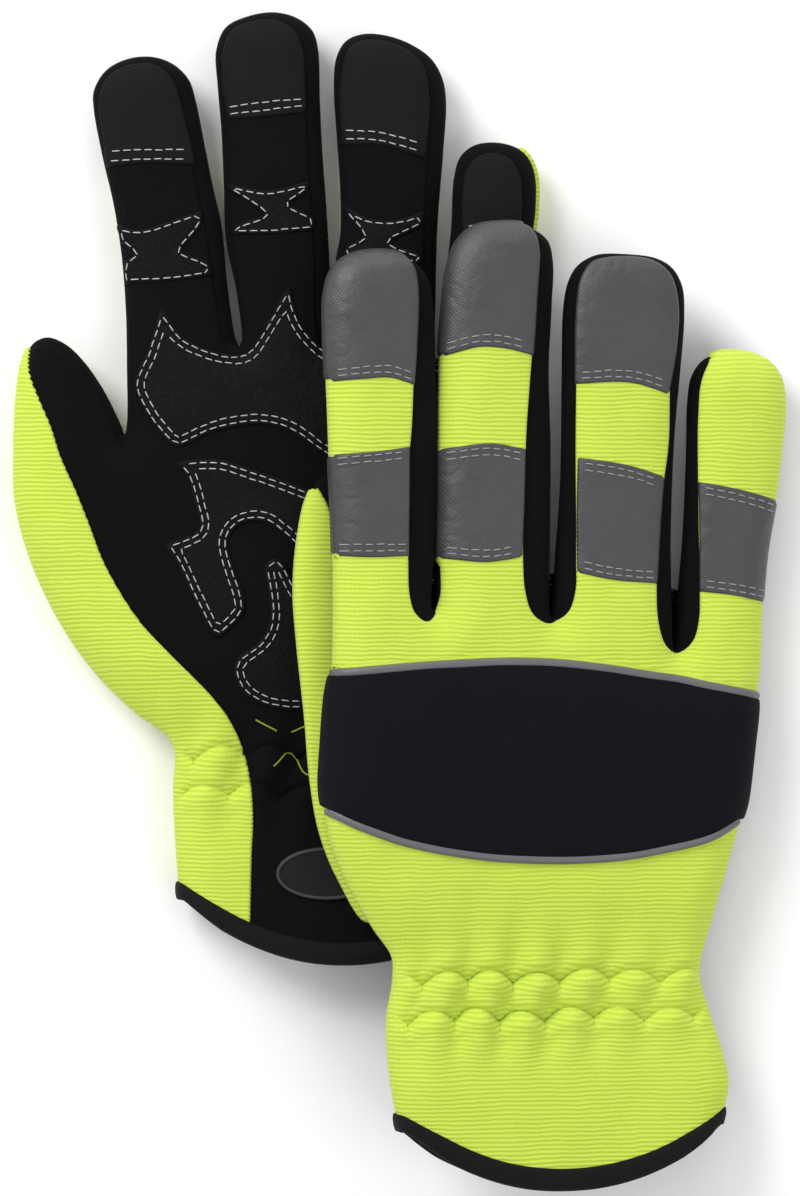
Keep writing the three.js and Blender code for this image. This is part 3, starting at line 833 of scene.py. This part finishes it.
def build(name, glove, piece, look):
    verts, normals = to_world(glove, piece.verts, piece.normals)
    faces = piece.faces
    if glove.world.determinant() < 0:
        faces = faces[:, ::-1]
    mesh = bpy.data.meshes.new(name)
    mesh.from_pydata(verts.tolist(), [], faces.tolist())
    mesh.polygons.foreach_set("use_smooth", np.ones(len(faces), bool))
    uv = mesh.uv_layers.new(name="plan")
    uv.data.foreach_set("uv", piece.plan[faces.ravel()].ravel())
    edge = mesh.attributes.new("edge", "FLOAT", "POINT")
    edge.data.foreach_set("value", piece.edge.astype(np.float32))
    mesh.update()
    mesh.validate()
    mesh.normals_split_custom_set_from_vertices(normals)
    mesh.materials.append(look)
    obj = bpy.data.objects.new(name, mesh)
    bpy.context.scene.collection.objects.link(obj)
    return obj


def part_of(piece, chosen):
    """The part of a piece made of the chosen faces."""
    faces = piece.faces[chosen]
    used = np.unique(faces)
    index = np.full(len(piece.verts), -1)
    index[used] = np.arange(len(used))
    return Piece(piece.verts[used], piece.normals[used], index[faces], piece.plan[used],
                 piece.edge[used])


def put(name, glove, piece, look, hand_only=False):
    """Makes the objects of one piece: what is on the hand rides on it, each finger end is an object of
    its own.
    Returns the objects by region name."""
    region, names = region_of(glove, piece.plan[piece.faces].mean(1))
    if hand_only:
        region[:] = -1
    body = f"{glove.name}_glove"
    made = {}
    for i in np.unique(region):
        where = "hand" if i < 0 else names[i]
        prefix = glove.name if i < 0 else f"{glove.name}_{where}"
        obj = build(f"{prefix}_{name}_looks", glove, part_of(piece, region == i), look)
        made[where] = obj
        if i < 0:
            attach(obj, body)
            continue
        if where == "thumb":
            middle, up = thumb_hinge()
            start, end = middle - up * THUMB_BLEND[0], middle + up * THUMB_BLEND[1]
        else:
            f = glove.fingers[where]
            start, end = f.at(f.hinge - BLEND, 0), f.at(f.hinge + BLEND, 0)
        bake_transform(obj)
    return made


# ---- art that both gloves share ----
# thickness, height of the underside over the cloth, and how far in the edge is rounded, in mm
KNIT_LAYER = {"thickness": 0.9}
PALM_LAYER = {"thickness": 0.5, "round_in": 0.7}
BAND_LAYER = {"thickness": 0.55, "base": 0.8, "round_in": 0.6}
REFLECTOR_LAYER = {"thickness": 0.8, "base": 0.55, "round_in": 0.8}
LEFT_REFLECTOR_LAYER = {"thickness": 0.8, "base": 0.4, "round_in": 0.8}
PAD_LAYER = {"thickness": 0.7, "base": 0.7, "puff": 1.3, "puff_in": 9}
GRIP_LAYER = {"thickness": 0.75, "base": 0.35, "round_in": 0.8}
TIP_LAYER = {"thickness": 0.7, "base": 0.3, "round_in": 0.8}
BOW_LAYER = {"thickness": 0.6, "base": 0.3, "round_in": 0.8}
BADGE_LAYER = {"thickness": 0.7, "base": 0.5, "round_in": 0.7, "spacing": 1.0}
LINING_DEPTH = 1.3  # how far inside the cloth's outside
LINING_TOP = 127.0  # short of the thumb's hinge
ROW_GAP = 1.6  # between two rows of stitches
MOUTH_POINTS = 84  # across the mouth, on each side


def finger_box(f, low, high, half, bow):
    """A four-sided border across a finger, from low to high along it, its two ends bowed out."""
    u = np.linspace(-1, 1, 5)
    ends = [[f.at(low - bow * (1 - v * v), v * half) for v in u],
            [f.at(high + bow * (1 - v * v), -v * half) for v in u]]
    return chain(*[catmull(end, PATCH_STEP) for end in ends])


def join(pieces):
    total = pieces[0]
    for p in pieces[1:]:
        total = total + p
    return total


def open_rows(glove, side, lines, lift):
    """Rows of stitches along plan lists or ready lines."""
    smooth = [catmull(line, 1.0) if isinstance(line, list) else line for line in lines]
    return join([stitches(glove, side, line, lift) for line in smooth])


def double(line, gap=ROW_GAP):
    """A line and the same line again, further up the glove."""
    return [line, [(x, y + gap) for x, y in line]]


def mouth_loop(glove, up, lift):
    """Points round the open mouth, set up from its edge and off the cloth: over, then under."""
    corner_x = [np.interp(glove.mouth[k, 1] + max(up, 0), line[:, 1], line[:, 0])
                for k, line in ((0, glove.sewn[:-20:-1]), (-1, glove.sewn[:20]))]
    run = np.linspace(0, 1, MOUTH_POINTS)
    spread = 0.5 - 0.5 * np.cos(np.pi * run)
    run = 0.5 * (run + spread)
    along = run * (len(glove.mouth) - 1)
    index = np.arange(len(glove.mouth))
    base = np.column_stack([np.interp(along, index, glove.mouth[:, k]) for k in (0, 1)])
    x = np.interp(run, [0, 1], corner_x)
    blend_in = np.minimum(1, np.minimum(run, 1 - run) * 8)
    up_here = up * blend_in if up < 0 else up
    p = np.column_stack([x * (1 - blend_in) + base[:, 0] * blend_in, base[:, 1] + up_here])
    over, _ = glove.surface(p, 1, lift)
    under, _ = glove.surface(p, -1, lift)
    return np.vstack([over, under[-2:0:-1]])


def binding(glove):
    """The binding tape: folded over the cuff's edge, all the way round the mouth."""
    section = [(4.8, 0.7), (4.5, 1.5), (3.4, 1.85), (1.8, 1.95), (0.4, 1.8), (-0.8, 1.1),
               (-1.2, 0.0), (-0.9, -1.0), (0.2, -1.7), (1.8, -1.9), (3.6, -1.8), (4.6, -1.2)]
    loops = [mouth_loop(glove, up, lift) for up, lift in section]
    n, k = len(loops[0]), len(loops)
    verts = np.stack(loops, 1).reshape(-1, 3)
    faces = lofted(n, k, closed=True)
    plan = np.column_stack([np.repeat(np.arange(n) * 1.0, k), np.tile([q[0] for q in section], n)])
    top = faces[:n * k][2::k]
    a, b, c = (verts[top[:, i]] for i in range(3))
    if (np.cross(b - a, c - a) * a * np.array([0.2, 0, 1])).sum() < 0:
        faces = faces[:, ::-1]
    return Piece(verts, normal_of(verts, faces), faces, plan, np.full(len(verts), WHOLE))


def lining(glove):
    """The inside of the cloth from the mouth through the hand, short of everything that bends."""
    out = []
    for side in (1, -1):
        s = shell(glove, side, LINING_DEPTH)
        s.faces = s.faces[:, ::-1]
        s.normals = -s.normals
        keep = s.plan[s.faces].mean(1)[:, 1] < LINING_TOP
        out.append(part_of(s, keep))
    return join(out)


def hand_looks(glove, knit_border, palm_border):
    """The cloth of a glove: its sides and lining, the knit back and the suede palm."""
    body = shell(glove, 1) + shell(glove, -1)
    made = put("sides", glove, body, SUEDE)
    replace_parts(made["hand"], *[f"{glove.name}_fourchette_{n}" for n in
                ("index_middle", "middle_ring", "ring_little")])
    for where, obj in made.items():
        if where != "hand":
            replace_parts(obj, f"{glove.name}_{where}_stall")
    knit = put("knit_back", glove, patch(glove, 1, knit_border, **KNIT_LAYER), KNIT)
    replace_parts(knit["hand"], f"{glove.name}_back_panel", f"{glove.name}_side_gusset_little")
    palm = put("suede_palm", glove, patch(glove, -1, palm_border, **PALM_LAYER), SUEDE)
    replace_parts(palm["hand"], f"{glove.name}_palm_panel")
    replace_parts(put("lining", glove, lining(glove), LINING, hand_only=True)["hand"],
                f"{glove.name}_wrist_elastic")
    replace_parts(put("binding", glove, binding(glove), TAPE, hand_only=True)["hand"],
                f"{glove.name}_cuff_binding")
    return made


PAD_REAR = [(44.8, 93), (37.5, 89), (24.5, 86), (9, 84), (-12.5, 84), (-30.5, 86), (-44, 89),
            (-54.5, 93), (-60.6, 96.5)]
PAD_FRONT = [(-60, 131), (-36, 133), (-9.5, 133.8), (9, 132.2), (30, 128.8), (51, 125)]


def pad_looks(glove, front, rear):
    """The padded knuckle pad between its two lines of piping."""
    left = outline_part(glove, front[0], rear[-1]) if glove.name == "right" else [front[0], rear[-1]]
    right = outline_part(glove, rear[0], front[-1]) if glove.name == "right" else [rear[0], front[-1]]
    border = chain(rear[::-1], right, front[::-1], left)
    pad = put("knuckle_pad", glove, patch(glove, 1, border, **PAD_LAYER), NEOPRENE)["hand"]
    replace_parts(pad, f"{glove.name}_knuckle_pad")
    for name, line in (("front", front), ("rear", rear)):
        piping = tube(glove, 1, catmull(line, 1.0), 1.15, 1.25, 0.8)
        made = put(f"piping_{name}", glove, piping, PIPING)["hand"]
        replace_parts(made, f"{glove.name}_piping_{name}")
    hems = [tube(glove, 1, catmull([(x, y + d) for x, y in line], 1.0), 0.5, 0.85, 0.35)
            for line, d in ((front, 1.5), (rear, -1.5))]
    put("pad_hems", glove, join(hems), KNIT)


def oval(x, y, rx, ry):
    u = np.linspace(0, 2 * np.pi, 72, endpoint=False)
    return np.column_stack([x + rx * np.cos(u), y + ry * np.sin(u)])


def badge_looks(glove, x, y):
    """A plain oval badge with a raised rim."""
    face = patch(glove, -1, oval(x, y, 13.4, 7.1), **BADGE_LAYER)
    badge = put("badge", glove, face, RUBBER, hand_only=True)["hand"]
    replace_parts(badge, f"{glove.name}_cuff_badge")
    rim = oval(x, y, 12.6, 6.3)
    rim = tube(glove, -1, np.vstack([rim, rim[:2]]), 0.42, 1.3, 0.7)
    put("badge_rim", glove, rim, RIM, hand_only=True)


# ---- the right glove: back of the hand up ----
TOE = [(-30, 10), (-15, 4), (0, 2.5), (15, 4), (30, 10)]


def right_glove():
    g = RIGHT
    little_side = outline_part(g, (42.2, 18), (39.5, 212))
    index_side = outline_part(g, (-60.5, 207), (-42.2, 18))
    middle_side = outline_part(g, (-31.2, 213), (-32, 158))
    knit = chain(
        little_side,
        [(39.5, 212), (36.6, 206), (35.7, 198), (35.5, 180), (35.5, 151.5), (35.2, 144.5),
         (33.7, 139), (30, 135.8), (26.2, 138.2), (24.2, 143.8), (23.7, 153), (25.4, 176),
         (27.4, 190), (27.4, 206)],
        [(16, 208.5), (3, 208.5)],
        [(2.8, 188), (2.6, 160), (2.2, 151.5), (0.3, 146.2), (-4.2, 143.6), (-8.9, 146),
         (-11, 151.5), (-11.6, 160), (-11, 180), (-10.6, 192), (-9, 214)],
        [(-20, 216.5), (-31.2, 213)],
        middle_side,
        [(-32, 158), (-32.2, 150.8), (-33.6, 146.6), (-36.8, 144.2), (-39.9, 146.4), (-41.3, 151),
         (-41.6, 160), (-41.8, 180), (-40.6, 192), (-40, 207)],
        [(-50, 208), (-60.5, 207)],
        index_side,
        g.cuff + np.array([0, 2.4]),
    )
    palm = chain(
        [(38.5, 19), (40.8, 30), (38.4, 44), (33.6, 54), (37, 68), (41.5, 83), (44.5, 95),
         (47.5, 118), (49.5, 132), (50.3, 149), (51.4, 162), (54, 178), (55.6, 190), (56.2, 200),
         (54.5, 206), (50, 209.5), (43.5, 210), (39.5, 208), (37.4, 200), (37, 186), (36, 165),
         (34.6, 150), (30.2, 133), (26.4, 150), (26.3, 168), (27.3, 192), (28.9, 209), (29.7, 222),
         (28.8, 229.5), (25, 233.6), (17, 235), (10, 234.6), (6.5, 231.5), (4.4, 224), (3.8, 205),
         (3.4, 180), (1.8, 160), (-2.7, 141.5), (-5.7, 160), (-5.9, 188), (-6.4, 208), (-5.6, 225),
         (-5.4, 235), (-8.5, 241), (-16.5, 241.8), (-22, 240.2), (-25.8, 233), (-27, 224),
         (-28, 210), (-28.6, 188), (-28.9, 165), (-33.5, 143.5), (-36.3, 165), (-36, 190),
         (-36.3, 213), (-37, 224), (-39.4, 231.5), (-43.8, 233.6), (-50, 234), (-55, 232.4),
         (-57.6, 226), (-57.8, 218), (-57, 200), (-56.4, 184), (-55.6, 166), (-55.6, 134),
         (-57, 116), (-57.6, 98), (-55.8, 88), (-51, 77), (-45, 67), (-40.3, 59.5), (-40, 53),
         (-41.6, 43), (-40.8, 28), (-38.5, 19)],
        [*TOE, (38.5, 19)],
    )
    body = hand_looks(g, knit, palm)
    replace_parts(body["hand"], "right_side_gusset_index")
    pad_looks(g, PAD_FRONT, PAD_REAR)

    bands = {
        "index": chain([(-60, 160.6), (-50, 160.2), (-41.6, 160.6)], [(-41.4, 175), (-41.2, 188.4)],
                       [(-50, 187.2), (-59.9, 186.4)],
                       outline_part(g, (-59.9, 186.4), (-59, 160.6))),
        "middle": chain([(-32, 160), (-21.5, 159), (-12, 160.4)], [(-11.4, 175), (-11, 188)],
                        [(-20, 189.4), (-31.8, 188)], outline_part(g, (-31.8, 188), (-32, 160))),
        "ring": chain([(2.9, 156.4), (11.5, 154.6), (23.6, 153.6)], [(24.6, 168), (25.7, 181.2)],
                      [(16.5, 184), (3.4, 186)], [(3, 172), (2.9, 156.4)]),
        "little": chain([(35.6, 151.6), (44, 150.6), (53, 148.8)],
                        outline_part(g, (53, 148.8), (56.6, 175.4)),
                        [(56.6, 175.4), (46, 178), (35.7, 180)], [(35.8, 166), (35.6, 151.6)]),
    }
    rows = {
        "index": (double([(-58.6, 162), (-42.6, 162)])
                  + double([(-59.2, 185.2), (-42.2, 187)], -ROW_GAP)),
        "middle": (double([(-31, 161.4), (-21.5, 160.5), (-13, 161.8)])
                   + double([(-31, 186.7), (-20, 188), (-12, 186.7)], -ROW_GAP)),
        "ring": (double([(3.9, 157.8), (11.5, 156.1), (22.7, 155.1)])
                 + double([(4.4, 184.4), (16.5, 182.4), (24.8, 179.8)], -ROW_GAP)),
        "little": (double([(36.6, 153), (44, 152), (52.6, 150.4)])
                   + [[(36.7, 178.4), (46, 176.4), (55.6, 174)],
                      [(36.7, 176.8), (46, 174.8), (55.4, 172.4)]]),
    }
    for name, border in bands.items():
        made = put(f"{name}_band", g, patch(g, 1, border, **BAND_LAYER), REFLECTIVE, hand_only=True)
        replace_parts(made["hand"], f"right_{name}_band")
        put(f"{name}_band_stitches", g, open_rows(g, 1, rows[name], 1.4), DARK_THREAD, hand_only=True)

    reflectors = {
        "index": chain(outline_part(g, (-42.5, 237), (-60.5, 204.4)),
                       [(-60.5, 204.4), (-53, 205), (-46.5, 205.4), (-40, 203.6)],
                       [(-39.2, 216), (-39, 229), (-40, 234), (-42.5, 237)]),
        "middle": chain(outline_part(g, (-10, 244.8), (-31.2, 211)),
                        [(-31.2, 211), (-23, 213.4), (-16, 213), (-9, 211.4)],
                        [(-8, 226), (-7.3, 238), (-8, 242.5), (-10, 244.8)]),
        "ring": chain([(2.8, 204.4), (3, 222), (4.4, 231.5), (7.6, 235.6), (15.5, 237), (23.5, 236),
                       (27.6, 232.6), (29.5, 225), (29, 214), (26.8, 202)],
                      [(16.5, 204.8), (2.8, 204.4)]),
    }
    rows = {
        "index": double([(-59.4, 206), (-53, 206.6), (-46.5, 207), (-41, 205.2)]),
        "middle": double([(-30.6, 212.8), (-23, 215), (-16, 214.6), (-10, 213)]),
        "ring": double([(3.8, 206), (16.5, 206.4), (26, 203.8)]),
    }
    for name, border in reflectors.items():
        made = put("reflector", g, patch(g, 1, border, **REFLECTOR_LAYER), REFLECTIVE)
        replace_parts(made[name], f"right_{name}_reflector")
        put("reflector_stitches", g, open_rows(g, 1, rows[name], 1.4), DARK_THREAD)
    palm_looks(g, LEFT_PATCHES)
    folded_thumb()


LEFT_PATCHES = {
    "front": [(-46.5, 168.6), (-43.6, 164), (-40.6, 160.6), (-30, 156.4), (-25, 156.8),
              (-19.5, 165), (-14, 173.6), (-12.4, 169), (-11, 165), (-7, 159.5), (-3, 156.5),
              (2, 157), (8, 163), (12.5, 170), (16.5, 163), (22, 156.5), (30, 153), (38, 148),
              (39.5, 141), (36, 133), (29, 127.5), (21, 124.4), (9.5, 124.6), (-2, 128.4),
              (-7, 131.4), (-13.5, 136), (-21, 138), (-32.5, 136.4), (-43, 132.2), (-45.5, 134),
              (-50.5, 140.5), (-53.6, 148.5), (-50.5, 157), (-49, 162)],
    "middle": [(-43.2, 128.2), (-32.5, 129.6), (-25, 127.6), (-16, 124.5), (-7, 121), (4, 117.6),
               (15, 116.4), (27, 119.4), (35.5, 121), (36.5, 112), (31, 102), (22, 96), (11, 93),
               (1, 94), (-5.5, 97.5), (-10, 104), (-16, 110), (-20.5, 113), (-26.3, 112.4),
               (-29.2, 108.5), (-27.6, 101), (-25.6, 95.5), (-25, 90.5), (-27.4, 87.2),
               (-32.5, 83.6), (-38, 92), (-43.5, 103.5), (-46, 107), (-41.6, 109.2), (-37.4, 111.4),
               (-38.4, 117.5), (-40.6, 125)],
    "heel": [(-20.4, 102), (-18.3, 104), (-15.6, 103.4), (-11, 95.5), (-5, 88), (4, 84), (12.5, 78),
             (14.5, 71), (6, 66.6), (-5, 65), (-13.5, 64.6), (-21, 66), (-26.5, 70), (-28.5, 75.5),
             (-27.4, 78.4), (-21.5, 83), (-19.2, 88), (-19.6, 95.5)],
}


def palm_looks(g, patches):
    """The grippy patches, each with two rows of stitches inside its edge, and the badge."""
    for name, points in patches.items():
        border = catmull(points, 1.1, closed=True)
        made = put(f"grip_{name}", g, patch(g, -1, border, **GRIP_LAYER), LEATHER)
        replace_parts(made["hand"], f"{g.name}_palm_patch_{name}")
        lines = [inset_line(border, depth) for depth in (1.2, 2.7)]
        put(f"grip_{name}_stitches", g, open_rows(g, -1, lines, 1.18), THREAD)
    badge_looks(g, -4.2, 23)


def folded_thumb():
    """The right glove's thumb, folded flat under its palm."""
    g = object.__new__(Glove)
    g.name, g.fingers = "right", {}
    g.world = RIGHT.world @ Matrix.Translation((2.4, 0, -(FACE + 4.9)))
    closed = ccw(catmull(THUMB_FOLD, 1.2, closed=True))
    g.sewn = np.vstack([closed, closed[:1]])
    g.whole = closed
    g.fullness = lambda y: 3.6 + 0 * y
    g.relief = lambda x, y, side: 0.35 * wobble(x, y, 22, 31 + side)
    ring = rings(closed, True, EDGE_RINGS)
    grid = fill(closed.min(0), closed.max(0), 1.6)
    grid = grid[inside(grid, closed)]
    d, _ = nearest(grid, closed, True)
    kept = [r[inside(r, closed)] for r in ring] + [grid[d > 5.4]]
    points, faces = triangulate(closed, np.vstack(kept))
    d, _ = nearest(points, closed, True)
    sheets = []
    for side in (1, -1):
        place, normal = g.surface(points, side)
        sheets.append(Piece(place, normal, faces if side > 0 else faces[:, ::-1], points, d))
    body = put("folded_thumb", g, join(sheets), SUEDE)["hand"]
    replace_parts(body, "right_thumb_stall")
    split = [(-63.5, 178.5), (-60.6, 172), (-59, 150), (-58, 120), (-56, 95), (-50, 70)]
    outer = outline_part(g, split[0], split[-1])
    border = chain(outer, split[::-1])
    put("folded_thumb_knit", g, patch(g, 1, border, **KNIT_LAYER), KNIT)


# ---- the left glove: palm up ----
LEFT_SEAM = [(-80.4, 158.9), (-80.5, 152), (-78, 145), (-75, 138), (-72.4, 130), (-68.6, 121.5),
             (-65, 112.5), (-61.6, 103.5), (-57, 95), (-51.5, 87), (-44, 79), (-36.5, 71.5),
             (-30.5, 64.5), (-27, 58), (-25, 52.5), (-23.6, 46), (-23, 37), (-23.4, 27), (-23.8, 9)]


RING_LITTLE_SLOT = [(29.4, 184), (26.8, 166), (25.4, 150), (23.6, 145.5), (21.4, 150), (20.6, 168),
                    (20.8, 190)]
MIDDLE_RING_SLOT = [(-0.6, 172), (-0.9, 160), (-3, 154.5), (-6.4, 160), (-7.4, 180)]
INDEX_MIDDLE_SLOT = [(-29.8, 213), (-29.2, 200), (-28.5, 186), (-26.4, 172), (-25.4, 161),
                     (-28, 153.5), (-31, 160), (-33.4, 174), (-35.4, 188)]
THUMB_SLOT = [(-57.4, 195), (-55.4, 182), (-54.4, 168), (-54, 152), (-54, 138)]


def left_glove():
    g = LEFT
    f = g.fingers
    seam = catmull(LEFT_SEAM, 1.1)
    toe = [(-23.8, 9), (-15, 4.5), (0, 2.5), (15, 4.5), (30, 10), (38.5, 19)]
    palm = chain(
        [(38.5, 19), (40.8, 30), (38.4, 44), (33.6, 54), (37.4, 68), (41, 92), (42.3, 119),
         (42.3, 140), (42.8, 160), (44.4, 180), (45.6, 194), (45.2, 201.5), (43, 205.8),
         (38.8, 207.6), (34.4, 206.6), (31.8, 203), (30.8, 196), *RING_LITTLE_SLOT, (21.6, 208),
         (22, 222), (20.5, 230), (16.5, 234.2), (10.5, 236.6), (5, 236.8), (1.8, 235), (0.2, 231.5),
         (-0.8, 224), (0, 211), (0.6, 198), (0.4, 186), *MIDDLE_RING_SLOT, (-8.4, 196), (-9.2, 210),
         (-9.8, 223), (-10.2, 233.5), (-12.5, 239), (-17.5, 242), (-24.5, 241.4), (-29, 238.8),
         (-31, 233.5), (-30.8, 225), *INDEX_MIDDLE_SLOT, (-37.6, 199), (-39.6, 210), (-41.8, 220),
         (-44, 226.5), (-49, 230.6), (-55.5, 230.3), (-60, 227.6), (-62.4, 223), (-62.4, 219),
         (-60.4, 208), *THUMB_SLOT, (-56.8, 132.5), (-59.8, 139), (-64, 147), (-68.6, 153.4),
         (-72.5, 157.2), (-76.5, 158.8), (-80, 158.4)],
        seam[3:],
        toe,
    )
    strips = chain(
        [(39.5, 18), (41.5, 30), (39, 44), (34.2, 54), (38, 68), (41.5, 92), (43, 119), (43.2, 140),
         (44, 160), (45.6, 180)], outline_part(g, (47.9, 184), (45, 209.8)),
        [(43, 207.5), (37, 206), (31.6, 200), *RING_LITTLE_SLOT, (22, 207), (2, 207), (0.6, 190),
         *MIDDLE_RING_SLOT, (-8.6, 196), (-9.6, 213), *INDEX_MIDDLE_SLOT, (-38.4, 204),
         (-59.6, 204), *THUMB_SLOT, (-57, 132), (-60.5, 141), (-66, 150.5), (-72, 156), (-78, 157)],
        outline_part(g, (-80.8, 159.2), (-42, 20)),
        [(-42, 20), (-38, 15.5), *TOE, (39.5, 18)],
    )
    body = hand_looks(g, strips, palm)
    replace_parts(body["hand"], "left_fourchette_thumb_index")
    side_border = chain(outline_part(g, (-80.8, 158.8), (-42, 20)),
                        [(-42, 20), (-38.5, 16), (-33, 12), (-23.8, 8.4)], seam[::-1])
    side = put("knit_side", g, patch(g, -1, side_border, **KNIT_LAYER), KNIT)
    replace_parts(side["hand"], "left_side_gusset_thumb")
    pad_looks(g, [(-56, 130), (-42, 132), (-24, 133.4), (-5, 133.6), (13, 131.6), (34, 127.6),
                  (41, 125.8)],
              [(40, 94), (31.7, 90.2), (16, 86.8), (0, 85.6), (-16, 85.6), (-34, 87.4),
               (-47.6, 90.8), (-55, 94.5)])
    for name, finger in f.items():
        half = 9.2 if name != "little" else 8.6
        band = finger_box(finger, 13, min(34, finger.hinge - 5), half, 0.6)
        made = put(f"{name}_band", g, patch(g, 1, band, **BAND_LAYER), REFLECTIVE, hand_only=True)
        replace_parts(made["hand"], f"left_{name}_band")
        if name != "little":
            s0, s1 = finger.hinge + 9, finger.length - 3.5
            half = finger.tip - 3.4
            border = catmull([tuple(finger.at(s, t)) for s, t in (
                (s0, -half), (s0, 0), (s0, half), ((s0 + s1) / 2, half), (s1 - 6, half),
                (s1 - 1.4, half * 0.72),
                (s1, 0), (s1 - 1.4, -half * 0.72), (s1 - 6, -half), ((s0 + s1) / 2, -half))], 1.1,
                closed=True)
            made = put("reflector", g, patch(g, 1, border, **LEFT_REFLECTOR_LAYER), REFLECTIVE)
            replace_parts(made[name], f"left_{name}_reflector")

    tips = {
        "index": (chain([(-60.9, 204.6), (-50, 205.2), (-38, 204.8)], [(-39.8, 213), (-41.6, 220)],
                        [(-43.8, 226.8), (-49, 230.8), (-55.5, 230.5), (-60.4, 227.8), (-62.8, 223)],
                        [(-62.8, 219), (-61.6, 211), (-60.9, 204.6)]),
                  [[(-59.8, 208.6), (-39.6, 208.8)], [(-60, 206.2), (-39.2, 206.4)]]),
        "middle": (chain([(-29.6, 216.6), (-19, 217.2), (-9.6, 218.4)], [(-9.9, 226), (-10.2, 233.5)],
                         [(-12.3, 239), (-17.5, 242.2), (-24.5, 241.6), (-29.2, 239), (-31.2, 233.5)],
                         [(-31, 225), (-29.6, 216.6)]),
                   [[(-29.6, 219.8), (-20, 221), (-10.6, 222)],
                    [(-29.4, 218), (-20, 219), (-10.4, 220.2)]]),
        "ring": (chain([(-0.2, 210), (10, 209.6), (21, 206.4)], [(21.8, 215), (22.2, 222)],
                       [(20.7, 230), (16.6, 234.4), (10.5, 236.8), (5, 237), (1.7, 235.2), (0, 231.5)],
                       [(-1, 224), (-0.2, 210)]),
                 [[(0.4, 214), (10, 213), (20.6, 210.2)], [(0.4, 211.8), (10, 211), (20.4, 208.2)]]),
        "little": (chain([(30.6, 186), (38, 187), (44.8, 186)], [(45.9, 194), (45.6, 201.5)],
                         [(43.2, 206.2), (38.8, 208), (34, 206.9), (31.2, 203)],
                         [(30.4, 196), (30.6, 186)]),
                   [[(31.6, 189), (38, 190), (44.4, 189)]]),
    }
    for name, (border, lines) in tips.items():
        put("grip_tip", g, patch(g, -1, border, **TIP_LAYER), TWILL)
        put("grip_tip_stitches", g, open_rows(g, -1, lines, 1.1), THREAD)
    bows = {
        "index": ([(-58.4, 190.2), (-52.6, 188.6), (-45, 190.6), (-36.4, 193.6)], [(-36, 189.6)],
                  [(-41.6, 182.8)], [(-34.4, 180.2)], [(-33.6, 176.4)],
                  [(-45, 174.8), (-56.2, 174.4)], [(-56.6, 180.2)],
                  [(-53.6, 182)], [(-57, 185.2)], [(-58.4, 190.2)]),
        "middle": ([(-30, 200.6), (-19, 198.6), (-8.8, 201.2)], [(-9, 198)], [(-14, 194.8)],
                   [(-7.4, 191.8)], [(-7.6, 188)], [(-18, 187), (-28.8, 187)],
                   [(-28.6, 189.4)], [(-20.4, 192.2)], [(-29.4, 198.4)],
                   [(-30, 200.6)]),
        "ring": ([(0.4, 195.4), (6, 191.6), (13.5, 191), (20.6, 193.4)], [(20.4, 189)],
                 [(12, 185)], [(20.4, 182)], [(20.2, 179)],
                 [(10, 180), (0, 181)], [(0.2, 184)], [(5, 186.6)],
                 [(0.4, 192.8)], [(0.4, 195.4)]),
    }
    for name, parts in bows.items():
        border = chain(*parts)
        put("grip_bow", g, patch(g, -1, border, **BOW_LAYER), LEATHER)
        line = inset_line(border, 1.1)
        put("grip_bow_stitches", g, open_rows(g, -1, [line], 1.0), THREAD)
    palm_looks(g, LEFT_PATCHES)
    puckers = [[(-22.5, 62.4), (-16.6, 59.2)], [(-13.5, 59.2), (-7.9, 61.5)],
               [(-18, 50.6), (-13.5, 54.1), (-9.7, 48.6), (-5, 48.2), (0, 50.5)]]
    gathers = [tube(g, -1, catmull(line, 1.0), 0.22, 0.55, 0.8, 6) for line in puckers]
    put("gather_threads", g, join(gathers), YELLOW_THREAD, hand_only=True)


left_glove()
right_glove()


# ---- floor, light and camera ----
def floor():
    mesh = bpy.data.meshes.new("floor")
    half = 3.0
    corners = [(-half, -half, 0), (half, -half, 0), (half, half, 0), (-half, half, 0)]
    mesh.from_pydata(corners, [], [(0, 1, 2, 3)])
    obj = bpy.data.objects.new("floor", mesh)
    obj.location.z = -0.0004
    bpy.context.scene.collection.objects.link(obj)
    m, _, shader = material("floor")
    shader.inputs["Base Color"].default_value = (0.97, 0.97, 0.97, 1)
    shader.inputs["Roughness"].default_value = 0.9
    shader.inputs["Specular IOR Level"].default_value = 0.1
    mesh.materials.append(m)


def lamp(name, place, aim, size, power):
    light = bpy.data.lights.new(name, "AREA")
    light.shape = "SQUARE"
    light.size = size
    light.energy = power
    obj = bpy.data.objects.new(name, light)
    obj.location = place
    obj.rotation_euler = (Vector(aim) - Vector(place)).to_track_quat("-Z", "Y").to_euler()
    bpy.context.scene.collection.objects.link(obj)


floor()
lamp("key", (-0.75, 0.85, 0.95), (0, 0, 0.02), 0.7, 14.0)
lamp("fill", (0.9, -0.5, 1.2), (0, 0, 0.02), 0.9, 4.5)
lamp("low rim", (0.2, 1.2, 0.45), (0, 0, 0.02), 0.5, 3.0)
world = bpy.data.worlds.new("studio")
world.use_nodes = True
world.node_tree.nodes["Background"].inputs[0].default_value = (1, 1, 1, 1)
world.node_tree.nodes["Background"].inputs[1].default_value = 0.66
bpy.context.scene.world = world
bpy.context.scene.view_settings.view_transform = "Standard"
bpy.context.scene.view_settings.look = "None"

camera = bpy.data.cameras.new("camera")
camera.lens = 150
camera.sensor_width = 36
camera_object = bpy.data.objects.new("camera", camera)
camera_object.location = (-0.0011, -0.0001, 1.295)
camera.clip_start, camera.clip_end = 0.05, 20
bpy.context.scene.collection.objects.link(camera_object)
bpy.context.scene.camera = camera_object
